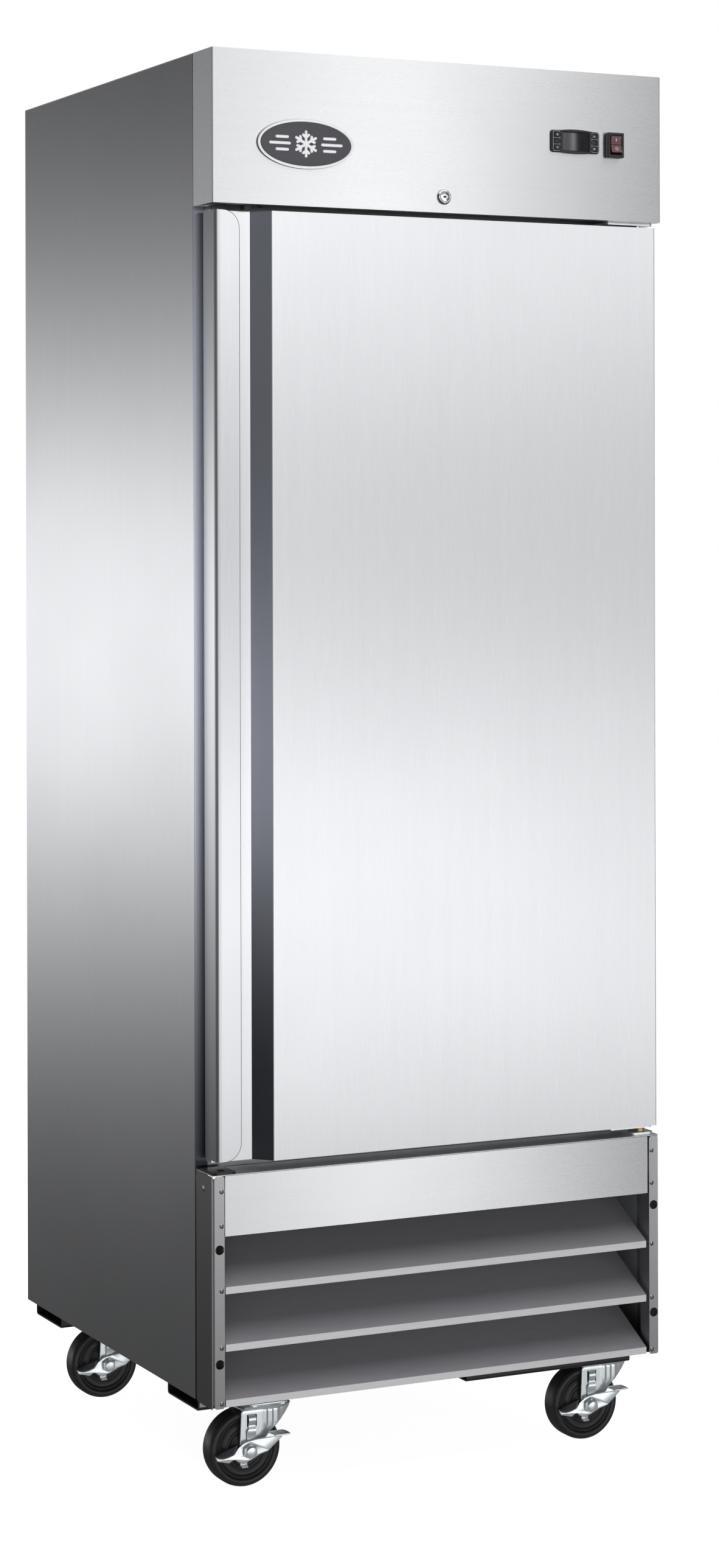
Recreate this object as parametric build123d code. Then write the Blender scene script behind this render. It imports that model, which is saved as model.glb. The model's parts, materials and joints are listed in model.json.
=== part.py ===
from build123d import *
import math
import os

# One-door reach-in refrigerator on casters. Millimetres, +Z up, front towards -Y.
# The frame's origin is the middle of the footprint, on the floor. The drawing below is easier with Y
# counted from the header's front face, so save() moves every piece forward by MID_DEPTH.
os.makedirs("parts", exist_ok=True)

# Overall
WIDTH = 737.0
HEIGHT = 2075.0
HALF = WIDTH / 2
SHEET = 1.2                        # stainless sheet
CABINET_FRONT = 70.0
CABINET_BACK = 765.0
SPACER_DEPTH = 25.0
SWITCH_REACH = 14.0                # the power switch stands this far in front of the header
MID_DEPTH = (CABINET_BACK + SPACER_DEPTH - SWITCH_REACH) / 2

# Levels
PANEL_BOTTOM = 146.0               # lower edge of the side panels
DECK = 476.0                       # top of the cabinet's floor sheet, over the machine compartment
DOOR_BOTTOM, DOOR_TOP = 489.0, 1848.0
HEADER_BOTTOM = 1855.0
ROOF = HEIGHT - SHEET

# Cold compartment
LINER_HALF = 308.8
LINER_FRONT, LINER_BACK = 110.2, 706.0
LINER_FLOOR, LINER_ROOF = 539.0, 2011.0
MOUTH_HALF = 300.0                 # door opening
MOUTH_BOTTOM, MOUTH_TOP = 545.0, 1795.0
SHELF_LEVELS = (850.0, 1160.0, 1470.0)

# Door
DOOR_FRONT, DOOR_BACK = 14.0, 58.0
DOOR_RIGHT, DOOR_LEFT = 367.5, -356.6
RECESS_EDGE, RECESS_FLOOR_EDGE, RECESS_Y = -269.0, -293.0, 40.0
HANDLE_EDGE, HANDLE_SHEET, HANDLE_BEND = -321.0, 1.5, 8.0
HINGE_X, HINGE_Y = 346.0, 30.0
HINGE_PIN = 5.0
RUNNING = 0.05                     # radial clearance of a pin in its bore
GASKET_HALF, GASKET_BOTTOM, GASKET_TOP = 340.0, 512.0, 1825.0

# Header
HEADER_TRAY_BACK, HEADER_SHELL_FRONT = 6.8, 7.0
HEADER_SHELF = HEADER_BOTTOM + 13.0    # the shell's inner bottom
BADGE_AT = (-223.7, 1944.0)        # X and Z of each fitting's centre
CONTROLLER_AT = (219.7, 1969.5)
SWITCH_AT = (287.0, 1967.5)
LOCK_AT = (0.0, 1878.0)
BADGE_HALF = (76.0, 36.0)
CONTROLLER_SIZE, CONTROLLER_BODY, CONTROLLER_WINDOW = (82.0, 33.0), (70.0, 28.0), (46.0, 28.2)
KEY_SIZE, KEY_CORNER = (9.0, 6.0), 2.2
KEY_X, KEY_ROWS = 31.5, {"top": 9.5, "middle": 0.0, "bottom": -9.5}
SWITCH_SIZE, SWITCH_BODY, SWITCH_MOUTH = (27.0, 37.5), (21.6, 29.6), (19.0, 27.6)
ROCKER_PIVOT_Y, ROCKER_PIVOT_RADIUS, ROCKER_TILT = -1.0, 1.5, -7.0
LOCK_FLANGE, LOCK_FACE, LOCK_BODY, LOCK_PLUG = 11.3, 9.4, 8.5, 6.5    # radii
CAM_LENGTH, CAM_RADIUS, CAM_FRONT, CAM_BACK = 38.0, 5.0, 22.0, 24.5

# Machine compartment front
COLUMN_FRONT = 8.0
COLUMN_INNER = 350.0
COLUMN_BOTTOM, COLUMN_TOP = 145.0, 474.6
SCREW_LEVELS = (453.0, 404.0, 312.0, 231.0, 152.0)
HOLE_LEVELS, HOLE_RADIUS = (370.5, 208.0), 6.8
LOUVRE_LEFT, LOUVRE_RIGHT = -348.5, 344.5
LIP_TOPS = (317.0, 235.5, 156.5)
LIP_HEIGHT, BLADE_DEPTH, BLADE_RISE = 10.0, 130.0, 70.0

# Base and casters
CHANNEL_BOTTOM = 124.0
CHANNELS = ((84.0, 200.0), (638.0, 752.0))
WHEEL_RADIUS, WHEEL_WIDTH, HUB_HALF = 56.0, 36.0, 19.0
TRAIL = 30.0                       # swivel axis to axle
CASTER_X = {"left": -246.0, "right": 323.0}
CASTER_Y = {"front": 119.0, "rear": 675.0}
AXLE_RADIUS, SWIVEL_RADIUS = 5.0, 6.0
FORK_HALF, FORK_SHEET, CROWN_RADIUS = 22.5, 2.5, 44.0
RACE_RADIUS, RACE_DROP = 24.0, 6.6

# Refrigeration
COMPRESSOR_AT = (-190.0, 560.0)
CONDENSER_FAN_AT, CONDENSER_FAN_RADIUS = (100.0, 224.0, 300.0), 112.0
EVAPORATOR_FAN_AT, EVAPORATOR_FAN_RADIUS = (0.0, 320.0, 1815.0), 88.0
FAN_SHAFT = 4.0


def block(x0, x1, y0, y1, z0, z1):
    """A box between two corners."""
    centre = Pos((x0 + x1) / 2, (y0 + y1) / 2, (z0 + z1) / 2)
    return centre * Box(abs(x1 - x0), abs(y1 - y0), abs(z1 - z0))


def post(radius, x, y, z0, z1):
    """An upright cylinder."""
    return Pos(x, y, (z0 + z1) / 2) * Cylinder(radius, z1 - z0)


def pin_y(radius, x, z, y0, y1):
    """A cylinder along Y."""
    return Pos(x, (y0 + y1) / 2, z) * Rot(90, 0, 0) * Cylinder(radius, y1 - y0)


def upright(points, z0, z1):
    """An XY outline carried up from z0 to z1."""
    return Pos(0, 0, z0) * extrude(make_face(Polyline(*points, close=True)), z1 - z0)


def face_xz(points, y0, y1):
    """An XZ outline carried back from y0 to y1."""
    outline = Plane.XZ * make_face(Polyline(*points, close=True))
    return Pos(0, y0, 0) * extrude(outline, -(y1 - y0))


def face_yz(points, x0, x1):
    """A YZ outline carried from x0 to x1."""
    outline = Plane.YZ * make_face(Polyline(*points, close=True))
    return Pos(x0, 0, 0) * extrude(outline, x1 - x0)


def plate_xz(width, height, corner, x, z, y0, y1):
    """A plate with rounded corners, facing the front."""
    outline = Plane.XZ * RectangleRounded(width, height, corner)
    return Pos(x, y0, z) * extrude(outline, -(y1 - y0))


def mirrored(shape):
    """The left hand copy of a right hand shape."""
    return mirror(shape, Plane.YZ)


def save(node, *solids):
    """Writes one node, moved into the refrigerator's own frame."""
    placed = [Pos(0, -MID_DEPTH, 0) * solid for solid in solids]
    whole = placed[0] if len(placed) == 1 else Compound(children=placed)
    whole.label = node
    export_step(whole, f"parts/{node}.step")


# ---------------------------------------------------------------- cabinet

def side_panel():
    """The right hand outer skin, folded in at its front, back and bottom edges."""
    skin = block(HALF - SHEET, HALF, CABINET_FRONT, CABINET_BACK, PANEL_BOTTOM, ROOF)
    front = block(COLUMN_INNER, HALF, CABINET_FRONT, CABINET_FRONT + SHEET, DECK + 0.2, ROOF)
    bottom = block(HALF - 14, HALF, CABINET_FRONT, CABINET_BACK, PANEL_BOTTOM, PANEL_BOTTOM + SHEET)
    panel = skin + front + bottom
    edge = panel.edges().filter_by(Axis.Z).sort_by_distance((HALF, CABINET_FRONT, 1200))[0]
    return fillet(edge, 1.0)


def back_panel():
    edge = HALF - SHEET
    return block(-edge, edge, CABINET_BACK - SHEET, CABINET_BACK, DECK + 0.2, ROOF)


def insulation():
    """Foam slabs, each a plain convex piece: sides, back, floor, roof and the rail over the door."""
    skin = HALF - SHEET - 0.1
    front = CABINET_FRONT + SHEET + 0.2
    back = CABINET_BACK - SHEET - 0.2
    inner, low, high = LINER_HALF + 0.2, DECK + 0.8, ROOF - 0.2
    side = block(inner, skin, front, back, low, high)
    return (
        side,
        mirrored(side),
        block(-inner, inner, LINER_BACK + 0.2, back, low, high),
        block(-inner, inner, front, LINER_BACK + 0.2, low, LINER_FLOOR - 0.2),
        block(-inner, inner, front, LINER_BACK + 0.2, LINER_ROOF + 0.2, high),
        block(-inner, inner, front, LINER_FRONT - 0.2, MOUTH_TOP + 2.4, LINER_ROOF + 0.2),
    )


def inner_liner():
    box = block(-LINER_HALF, LINER_HALF, LINER_FRONT, LINER_BACK, LINER_FLOOR, LINER_ROOF)
    inside = LINER_HALF - SHEET
    room = block(-inside, inside, LINER_FRONT + SHEET, LINER_BACK - SHEET,
                 LINER_FLOOR + SHEET, LINER_ROOF - SHEET)
    mouth = block(-MOUTH_HALF, MOUTH_HALF, LINER_FRONT - 1, LINER_FRONT + 2 * SHEET,
                  MOUTH_BOTTOM, MOUTH_TOP)
    return box - room - mouth


def front_frame():
    """The face the gasket closes on, and the breaker strips that line the opening."""
    face = block(-COLUMN_INNER + 0.4, COLUMN_INNER - 0.4, CABINET_FRONT, CABINET_FRONT + SHEET,
                 DECK + 0.4, ROOF - 0.4)
    throat = block(-MOUTH_HALF - 2, MOUTH_HALF + 2, CABINET_FRONT, LINER_FRONT - 0.1,
                   MOUTH_BOTTOM - 2, MOUTH_TOP + 2)
    mouth = block(-MOUTH_HALF, MOUTH_HALF, CABINET_FRONT - 1, LINER_FRONT + 1, MOUTH_BOTTOM, MOUTH_TOP)
    return face + throat - mouth


def cabinet_floor():
    """The sheet over the machine compartment, which shows as a ledge under the door."""
    edge = HALF - SHEET - 0.1
    ledge = COLUMN_FRONT + SHEET + 0.4
    return block(-edge, edge, ledge, CABINET_BACK - SHEET - 0.1, DECK - SHEET, DECK)


# ---------------------------------------------------------------- header

def header_shell():
    """Side plates, an inner bottom and a lip along the front of the underside."""
    front, back = HEADER_SHELL_FRONT, CABINET_FRONT - 0.3
    inner, lip_back = HALF - SHEET, 21.0
    side = block(inner, HALF, front, back, HEADER_BOTTOM, ROOF)
    foot = block(HALF - 16, HALF, front, back, HEADER_BOTTOM, HEADER_BOTTOM + SHEET)
    lip = block(-inner, inner, front, lip_back, HEADER_BOTTOM, HEADER_BOTTOM + SHEET)
    strip = block(-inner, inner, front, front + SHEET, HEADER_BOTTOM, HEADER_SHELF + 1)
    shelf = block(-inner, inner, front, back, HEADER_SHELF, HEADER_SHELF + SHEET)
    shell = side + mirrored(side) + foot + mirrored(foot) + lip + strip + shelf
    lock_x = LOCK_AT[0]
    cam_slot = block(lock_x - 8, lock_x + CAM_LENGTH + 3, lip_back, lip_back + 8,
                     HEADER_SHELF - 3, HEADER_SHELF + 3)
    hinge_notch = block(HINGE_X - 62, HALF - 2, lip_back - 3, lip_back + 0.5,
                        HEADER_BOTTOM - 1, HEADER_BOTTOM - 0.1)
    return shell - cam_slot - hinge_notch


def header_panel():
    """The front of the header: a shallow tray with cut-outs for the fittings."""
    tray = block(-HALF, HALF, 0, HEADER_TRAY_BACK, HEADER_BOTTOM, HEIGHT)
    corners = tray.edges().filter_by(Axis.Z).group_by(Axis.Y)[0]
    tray = fillet(corners, 1.5)
    inner = HALF - SHEET
    tray -= block(-inner, inner, SHEET, HEADER_SHELL_FRONT, HEADER_BOTTOM + SHEET, ROOF)
    tray -= pin_y(LOCK_BODY + 0.2, *LOCK_AT, -1, 3)
    for size, place in ((CONTROLLER_BODY, CONTROLLER_AT), (SWITCH_BODY, SWITCH_AT)):
        tray -= plate_xz(size[0] + 1, size[1] + 1, 1, *place, -1, 3)
    return tray


def badge():
    """An oval plate with a raised rim and a raised six-armed frost star."""
    x, z = BADGE_AT
    width, height = BADGE_HALF
    rim_width = 4.5
    oval = Pos(x, 0, z) * extrude(Plane.XZ * Ellipse(width, height), 3.2)
    rim = Plane.XZ * (Ellipse(width, height) - Ellipse(width - rim_width, height - rim_width))
    plate = oval + Pos(x, 0, z) * extrude(rim, 5.0)
    for turn in (0, 60, 120):
        plate += Pos(x, -3.6, z) * Rot(0, turn, 0) * Box(42, 1.6, 2.4)
    return plate


def controller_case():
    """The controller's bezel, with pockets for its window and keys, and its body behind the panel."""
    x, z = CONTROLLER_AT
    width, height = CONTROLLER_SIZE
    bezel = plate_xz(width, height, 5, x, z, -3.0, 0) + plate_xz(width - 2, height - 2, 5, x, z, -5.0, -3.0)
    bezel += Pos(x, 0, z) * extrude(Plane.XZ * Ellipse(width / 2 - 1, height / 2 + 1.7), 5.5)
    bezel += plate_xz(*CONTROLLER_BODY, 1, x, z, 0, 52)
    window_width, window_height = CONTROLLER_WINDOW
    bezel -= plate_xz(window_width + 0.4, window_height + 0.4, 2, x, z, -9, -3.6)
    key_width, key_height = KEY_SIZE
    for side in (-1, 1):
        for row in KEY_ROWS.values():
            pocket = plate_xz(key_width + 0.6, key_height + 0.6, KEY_CORNER, 0, 0, -9, -1.4)
            bezel -= Pos(x + side * KEY_X, 0, z + row) * pocket
    return bezel


def controller_display():
    return plate_xz(*CONTROLLER_WINDOW, 1.8, *CONTROLLER_AT, -5.2, -3.6)


def controller_key(side, row):
    """A key that stands 0.8 proud and travels in by as much."""
    x, z = CONTROLLER_AT
    return plate_xz(*KEY_SIZE, KEY_CORNER, x + side * KEY_X, z + KEY_ROWS[row], -6.0, -2.6)


def rocker_pivot(radius, reach):
    """The rocker's pivot, along X through both of its sides."""
    x, z = SWITCH_AT
    return Pos(x, ROCKER_PIVOT_Y, z) * Rot(0, 90, 0) * Cylinder(radius, 2 * reach)


def switch_bezel():
    """The deep frame round the rocker, with the pivot's blind bores in its sides."""
    x, z = SWITCH_AT
    frame = plate_xz(*SWITCH_SIZE, 2, x, z, -9, 0) + plate_xz(*SWITCH_BODY, 1, x, z, 0, 26)
    frame -= plate_xz(*SWITCH_MOUTH, 1, x, z, -10, 14)
    return frame - rocker_pivot(ROCKER_PIVOT_RADIUS + RUNNING, 11.3)


def power_rocker():
    """The rocker turns on a pivot across the bezel; it is drawn with its lower end pressed in."""
    x, z = SWITCH_AT
    crown = face_yz([(-11.8, -12), (-7.5, 0), (-11.8, 12), (0, 12), (4, 6), (4, -6), (0, -12)], -9, 9)
    placed = Pos(x, ROCKER_PIVOT_Y, z) * Rot(ROCKER_TILT, 0, 0) * crown
    return placed + rocker_pivot(ROCKER_PIVOT_RADIUS, 11)


def lock_barrel():
    """The barrel with its front flange, and the nut that holds it behind the header's sheet."""
    x, z = LOCK_AT
    barrel = pin_y(LOCK_FACE, x, z, -4, 0) + pin_y(LOCK_BODY, x, z, 0, 18) + pin_y(11, x, z, SHEET, 4)
    front = barrel.edges().filter_by(GeomType.CIRCLE).sort_by(Axis.Y)[0]
    flange = pin_y(LOCK_FLANGE, x, z, -1.5, 0)
    return chamfer(front, 0.8) + flange - pin_y(LOCK_PLUG + RUNNING, x, z, -10, 20)


def lock_plug():
    """The plug with its key slot, and the cam that drops into the door's top edge."""
    x, z = LOCK_AT
    tip = x + CAM_LENGTH - CAM_RADIUS
    plug = pin_y(LOCK_PLUG, x, z, -4.6, CAM_FRONT) - block(x - 3, x + 3, -6, -2, z - 0.8, z + 0.8)
    arm = block(x, tip, CAM_FRONT, CAM_BACK, z - CAM_RADIUS, z + CAM_RADIUS)
    return plug + pin_y(7, x, z, CAM_FRONT, CAM_BACK) + arm + pin_y(CAM_RADIUS, tip, z, CAM_FRONT, CAM_BACK)


# ---------------------------------------------------------------- door

def door_outline(shrink=0.0):
    """The door's plan: a full front, a slant down to the handle recess and a set-in left edge."""
    points = [(DOOR_RIGHT, DOOR_BACK), (DOOR_RIGHT, DOOR_FRONT), (RECESS_EDGE, DOOR_FRONT),
              (RECESS_FLOOR_EDGE, RECESS_Y), (DOOR_LEFT, RECESS_Y), (DOOR_LEFT, DOOR_BACK)]
    outline = make_face(Polyline(*points, close=True))
    fronts = [v for v in outline.vertices() if abs(v.Y - DOOR_FRONT) < 0.1]
    outline = fillet(fronts, 2.5)
    return offset(outline, -shrink, kind=Kind.INTERSECTION) if shrink else outline


def hinge_holes(radius):
    return (post(radius, HINGE_X, HINGE_Y, DOOR_BOTTOM - 5, DOOR_BOTTOM + 15)
            + post(radius, HINGE_X, HINGE_Y, DOOR_TOP - 15, DOOR_TOP + 5))


def cam_pocket():
    x = LOCK_AT[0]
    return block(x - 8, x + 27, 20, 29, DOOR_TOP - 12, DOOR_TOP + 1)


def door_skin():
    body = Pos(0, 0, DOOR_BOTTOM) * extrude(door_outline(), DOOR_TOP - DOOR_BOTTOM)
    room = Pos(0, 0, DOOR_BOTTOM + SHEET) * extrude(door_outline(SHEET), DOOR_TOP - DOOR_BOTTOM - 2 * SHEET)
    room += block(DOOR_LEFT + SHEET, DOOR_RIGHT - SHEET, DOOR_BACK - 8, DOOR_BACK + 1,
                  DOOR_BOTTOM + SHEET, DOOR_TOP - SHEET)
    return body - room - hinge_holes(9.2) - cam_pocket()


def door_liner():
    """The inner sheet with its pressed pan, hollow behind."""
    edge = SHEET + 0.1
    sheet = block(DOOR_LEFT + edge, DOOR_RIGHT - edge, DOOR_BACK - SHEET, DOOR_BACK,
                  DOOR_BOTTOM + edge, DOOR_TOP - edge)
    pan = block(-285, 285, DOOR_BACK - SHEET, DOOR_BACK + 10, 562, 1778)
    pan = fillet(pan.edges().filter_by(Axis.Y), 18)
    pan = fillet(pan.faces().sort_by(Axis.Y)[-1].edges(), 5)
    hollow = block(-280, 280, DOOR_BACK - 2, DOOR_BACK + 8.6, 567, 1773)
    return sheet + pan - hollow


def door_insulation():
    """Foam in two convex pieces, one in front of the slant and one behind the recess."""
    gap = SHEET + 0.1
    low, high = DOOR_BOTTOM + gap, DOOR_TOP - gap
    back = DOOR_BACK - gap
    shift = 0.6 * gap
    main = upright([(DOOR_RIGHT - gap, DOOR_FRONT + gap), (RECESS_EDGE + 2 * shift, DOOR_FRONT + gap),
                    (RECESS_FLOOR_EDGE + 2, RECESS_Y + gap), (RECESS_FLOOR_EDGE + 2, back),
                    (DOOR_RIGHT - gap, back)], low, high)
    corner = main.edges().filter_by(Axis.Z).sort_by_distance((DOOR_RIGHT, DOOR_FRONT, 1200))[0]
    main = fillet(corner, 1.4)
    flank = block(DOOR_LEFT + gap, RECESS_FLOOR_EDGE + 2, RECESS_Y + gap, back, low, high)
    return main - hinge_holes(9.2) - cam_pocket(), flank


def gasket():
    """A magnetic strip round the door's back, with a groove that lets it flex."""
    def ring(inset, y0, y1, width):
        out = GASKET_HALF - inset
        low, high = GASKET_BOTTOM + inset, GASKET_TOP - inset
        return (block(-out, out, y0, y1, low, high)
                - block(-out + width, out - width, y0 - 1, y1 + 1, low + width, high - width))
    return ring(2, 58.1, 61, 16) + ring(5, 61, 64, 8) + ring(0, 64, 69.7, 18)


def handle():
    """A full-height strip up the door's left side, bent round its front; the fingers go behind its flange."""
    low, high, back = 493, 1847, DOOR_BACK - 0.4
    front = DOOR_FRONT + HANDLE_SHEET / 2
    side = DOOR_LEFT - 0.1 - HANDLE_SHEET / 2
    line = FilletPolyline((side, back), (side, front), (HANDLE_EDGE, front), radius=HANDLE_BEND)
    strip = Pos(0, 0, low) * extrude(trace(line, HANDLE_SHEET), high - low)
    left = side - HANDLE_SHEET
    shape = Plane.XZ * Rectangle(HANDLE_EDGE - left, high - low)
    rounded = fillet(shape.vertices().group_by(Axis.X)[-1], 26)
    return strip & (Pos((left + HANDLE_EDGE) / 2, 60, (low + high) / 2) * extrude(rounded, 60))


def door_hinge_plates():
    """The lower plate with its bush and bearing ring, and the upper bush."""
    plate = block(289, 362, 19, 46, DOOR_BOTTOM - 3.1, DOOR_BOTTOM - 0.1)
    plate = fillet(plate.edges().filter_by(Axis.Z), 4)
    lower = plate + post(9, HINGE_X, HINGE_Y, DOOR_BOTTOM - 3.1, DOOR_BOTTOM + 13)
    lower += post(7.6, HINGE_X, HINGE_Y, DECK + 4.2, DOOR_BOTTOM - 3)
    upper = post(9, HINGE_X, HINGE_Y, DOOR_TOP - 13, DOOR_TOP + 0.6)
    bore = post(HINGE_PIN + RUNNING, HINGE_X, HINGE_Y, DECK, HEADER_BOTTOM)
    return lower - bore, upper - bore


def hinge_brackets():
    """Upper and lower brackets with their pins, and the unused plate for a left hand door."""
    upper = block(287, 366, 18, CABINET_FRONT - 0.2, HEADER_BOTTOM - 3.8, HEADER_BOTTOM - 0.2)
    upper = fillet(upper.edges().filter_by(Axis.Z).group_by(Axis.Y)[0], 5)
    upper += post(HINGE_PIN, HINGE_X, HINGE_Y, DOOR_TOP - 11, HEADER_BOTTOM - 3)
    lower = block(325, 363, 14, CABINET_FRONT - 0.2, DECK + 0.1, DECK + 4)
    lower = fillet(lower.edges().filter_by(Axis.Z).group_by(Axis.Y)[0], 8)
    lower += post(HINGE_PIN, HINGE_X, HINGE_Y, DECK + 3, DOOR_BOTTOM + 11)
    spare = block(-364, -329, 9.8, 60, DECK + 0.1, DECK + 2.6)
    spare = fillet(spare.edges().filter_by(Axis.Z).group_by(Axis.Y)[0], 8)
    spare -= post(HINGE_PIN + 0.5, -HINGE_X, HINGE_Y, DECK, DECK + 5)
    return upper, lower, spare


# ---------------------------------------------------------------- machine compartment

def column():
    """The right hand corner post: a folded channel, and the side flange beside it past a shadow gap."""
    front_edge = HALF - 3.0
    front = plate_xz(front_edge - COLUMN_INNER, COLUMN_TOP - COLUMN_BOTTOM, 4,
                     (front_edge + COLUMN_INNER) / 2, (COLUMN_TOP + COLUMN_BOTTOM) / 2,
                     COLUMN_FRONT, COLUMN_FRONT + SHEET)
    low, high = COLUMN_BOTTOM + 5, COLUMN_TOP - 5
    inner = block(COLUMN_INNER, COLUMN_INNER + SHEET, COLUMN_FRONT + 0.4, 34, low, high)
    outer = block(front_edge - SHEET, front_edge, COLUMN_FRONT + 0.4, 60, low, high)
    post_shape = front + inner + outer
    for level in HOLE_LEVELS:
        post_shape -= pin_y(HOLE_RADIUS, COLUMN_INNER + 7.6, level, COLUMN_FRONT - 1, COLUMN_FRONT + 3)
    flange = block(HALF - 1.9, HALF - 0.8, COLUMN_FRONT + 5, 69, COLUMN_BOTTOM - 1, COLUMN_TOP - 0.6)
    hem = block(HALF - 2.9, HALF - 1.9, COLUMN_FRONT + 5, COLUMN_FRONT + 8, COLUMN_BOTTOM + 1, COLUMN_TOP - 2)
    corner = flange.edges().filter_by(Axis.X).sort_by_distance((HALF, 69, COLUMN_BOTTOM - 1))[0]
    gusset = block(HALF - 20, HALF - 2.2, 61, 62.2, COLUMN_BOTTOM - 9, PANEL_BOTTOM + 1.25)
    return post_shape, fillet(corner, 6) + hem, gusset


def lower_panel():
    """The flat panel above the louvres, folded back along its top and bottom."""
    left, right = -COLUMN_INNER + 1, COLUMN_INNER - 3
    low, high = LIP_TOPS[0] + 72, COLUMN_TOP
    face = block(left, right, COLUMN_FRONT, COLUMN_FRONT + SHEET, low, high)
    fold = block(left, right, COLUMN_FRONT, COLUMN_FRONT + 16, low, low + SHEET)
    top = block(left, right, COLUMN_FRONT, COLUMN_FRONT + 30, high - SHEET, high)
    return face + fold + top


def louvre(lip_top):
    """A blade that rises towards the back, with an upright lip along its front edge."""
    y0, y1 = COLUMN_FRONT, COLUMN_FRONT + BLADE_DEPTH
    lip_low = lip_top - LIP_HEIGHT
    points = [(y0, lip_low), (y0, lip_top), (y1, lip_top + BLADE_RISE), (y1, lip_top + BLADE_RISE - 1.4),
              (y0 + SHEET, lip_top - 1.2), (y0 + SHEET, lip_low)]
    return face_yz(points, LOUVRE_LEFT, LOUVRE_RIGHT)


def base_frame():
    """The pan, the two cross channels that carry the casters and a stiffener under the pan's front."""
    edge = HALF - 3.1
    pan = block(-edge, edge, 12, CABINET_BACK - SHEET - 0.1, PANEL_BOTTOM + 1.3, PANEL_BOTTOM + 3.3)
    channels = []
    for y0, y1 in CHANNELS:
        channel = block(-358, 366.4, y0, y1, CHANNEL_BOTTOM, PANEL_BOTTOM - 0.1)
        channel = fillet(channel.edges().filter_by(Axis.X).group_by(Axis.Z)[0], 5)
        trough = block(-360, 369, y0 + 2.5, y1 - 2.5, CHANNEL_BOTTOM + 2.5, PANEL_BOTTOM + 1)
        trough = fillet(trough.edges().filter_by(Axis.X).group_by(Axis.Z)[0], 2.5)
        channels.append(channel - trough)
    stiffener = block(60, 340, 50, 80, PANEL_BOTTOM - 19.6, PANEL_BOTTOM + 1.2)
    stiffener = fillet(stiffener.edges().filter_by(Axis.X).group_by(Axis.Z)[0], 4)
    stiffener -= block(59, 341, 52.5, 77.5, PANEL_BOTTOM - 17.1, PANEL_BOTTOM + 2)
    return pan, *channels, stiffener


def compressor():
    """A welded shell on its foot plate."""
    x, y = COMPRESSOR_AT
    floor, radius = PANEL_BOTTOM + 3.4, 82
    shell = post(radius, x, y, floor + 12, floor + 190)
    shell = fillet(shell.edges().filter_by(GeomType.CIRCLE), 30)
    seam = post(radius + 4, x, y, floor + 96, floor + 102)
    plate = block(x - 105, x + 105, y - 70, y + 70, floor + 9, floor + 13)
    body = shell + seam + plate
    for dx in (-85, 85):
        for dy in (-50, 50):
            body += post(14, x + dx, y + dy, floor, floor + 9.5)
    terminal_box = block(x + 78, x + 112, y - 30, y + 30, floor + 50, floor + 110)
    return body + terminal_box


def condenser():
    """A finned block with its shroud, and the fan's motor on three arms behind it."""
    x, y, z = CONDENSER_FAN_AT
    half, front, middle, back = 190, 150, 194, 214
    low, high, wall = 158, 444, 3
    coil = block(x - half, x + half, front, middle, low, high)
    for step in range(18):
        gap = low + 6 + step * 15.6
        coil -= block(x - half + 4, x + half - 4, front - 1, front + 6, gap, gap + 9)
    shroud = block(x - half, x + half, middle, back, low, high)
    shroud -= block(x - half + wall, x + half - wall, middle - 1, back - wall, low + wall, high - wall)
    shroud -= pin_y(CONDENSER_FAN_RADIUS + 16, x, z, back - 9, back + 6)
    motor = pin_y(34, x, z, y + 22, y + 70) + pin_y(FAN_SHAFT, x, z, y - 12, y + 24)
    foot_circle = CONDENSER_FAN_RADIUS + 24
    for turn in (90, 210, 330):
        arm = Pos(x, y + 40, z) * Rot(0, -turn, 0) * Pos(84, 0, 0) * Box(110, 4, 14)
        foot_x = x + foot_circle * math.cos(math.radians(turn))
        foot_z = z + foot_circle * math.sin(math.radians(turn))
        motor += arm + pin_y(7, foot_x, foot_z, back - 0.1, y + 42)
    return coil + shroud + motor


def fan(radius, hub, blades, depth, shaft):
    """A fan about the Z axis: pitched flat blades on a bored hub."""
    wheel = Cylinder(hub, depth)
    for number in range(blades):
        paddle = Pos((hub + radius) / 2 - 2, 0, 0) * Rot(24, 0, 0) * Box(radius - hub + 4, radius * 0.52, 1.6)
        wheel += Rot(0, 0, number * 360 / blades) * paddle
    wheel &= Cylinder(radius, depth * 3)
    return wheel - Cylinder(shaft + RUNNING, depth * 2)


def condenser_fan():
    return Pos(*CONDENSER_FAN_AT) * Rot(90, 0, 0) * fan(CONDENSER_FAN_RADIUS, 26, 5, 16, FAN_SHAFT)


def tube(radius, bend, *points):
    """A tube along straight runs joined by arcs."""
    line = FilletPolyline(*points, radius=bend)
    return sweep(Plane(line @ 0, z_dir=line % 0) * Circle(radius), path=line)


def refrigerant_lines():
    """Discharge line to the condenser and suction line from the cabinet's floor."""
    x, y = COMPRESSOR_AT
    shell_top, upper, turn_y = PANEL_BOTTOM + 193.6, 400, 172
    inlet_x = CONDENSER_FAN_AT[0] - 190.2
    discharge = tube(4, 30, (x, y, shell_top), (x, y, upper), (x, turn_y, upper), (inlet_x, turn_y, upper))
    suction_x, suction_y = x + 25, y + 30
    suction = tube(7, 24, (suction_x, suction_y, shell_top), (suction_x, suction_y, upper + 20),
                   (-60, 650, upper + 20), (-60, 650, DECK - SHEET - 0.1))
    return discharge, suction


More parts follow.
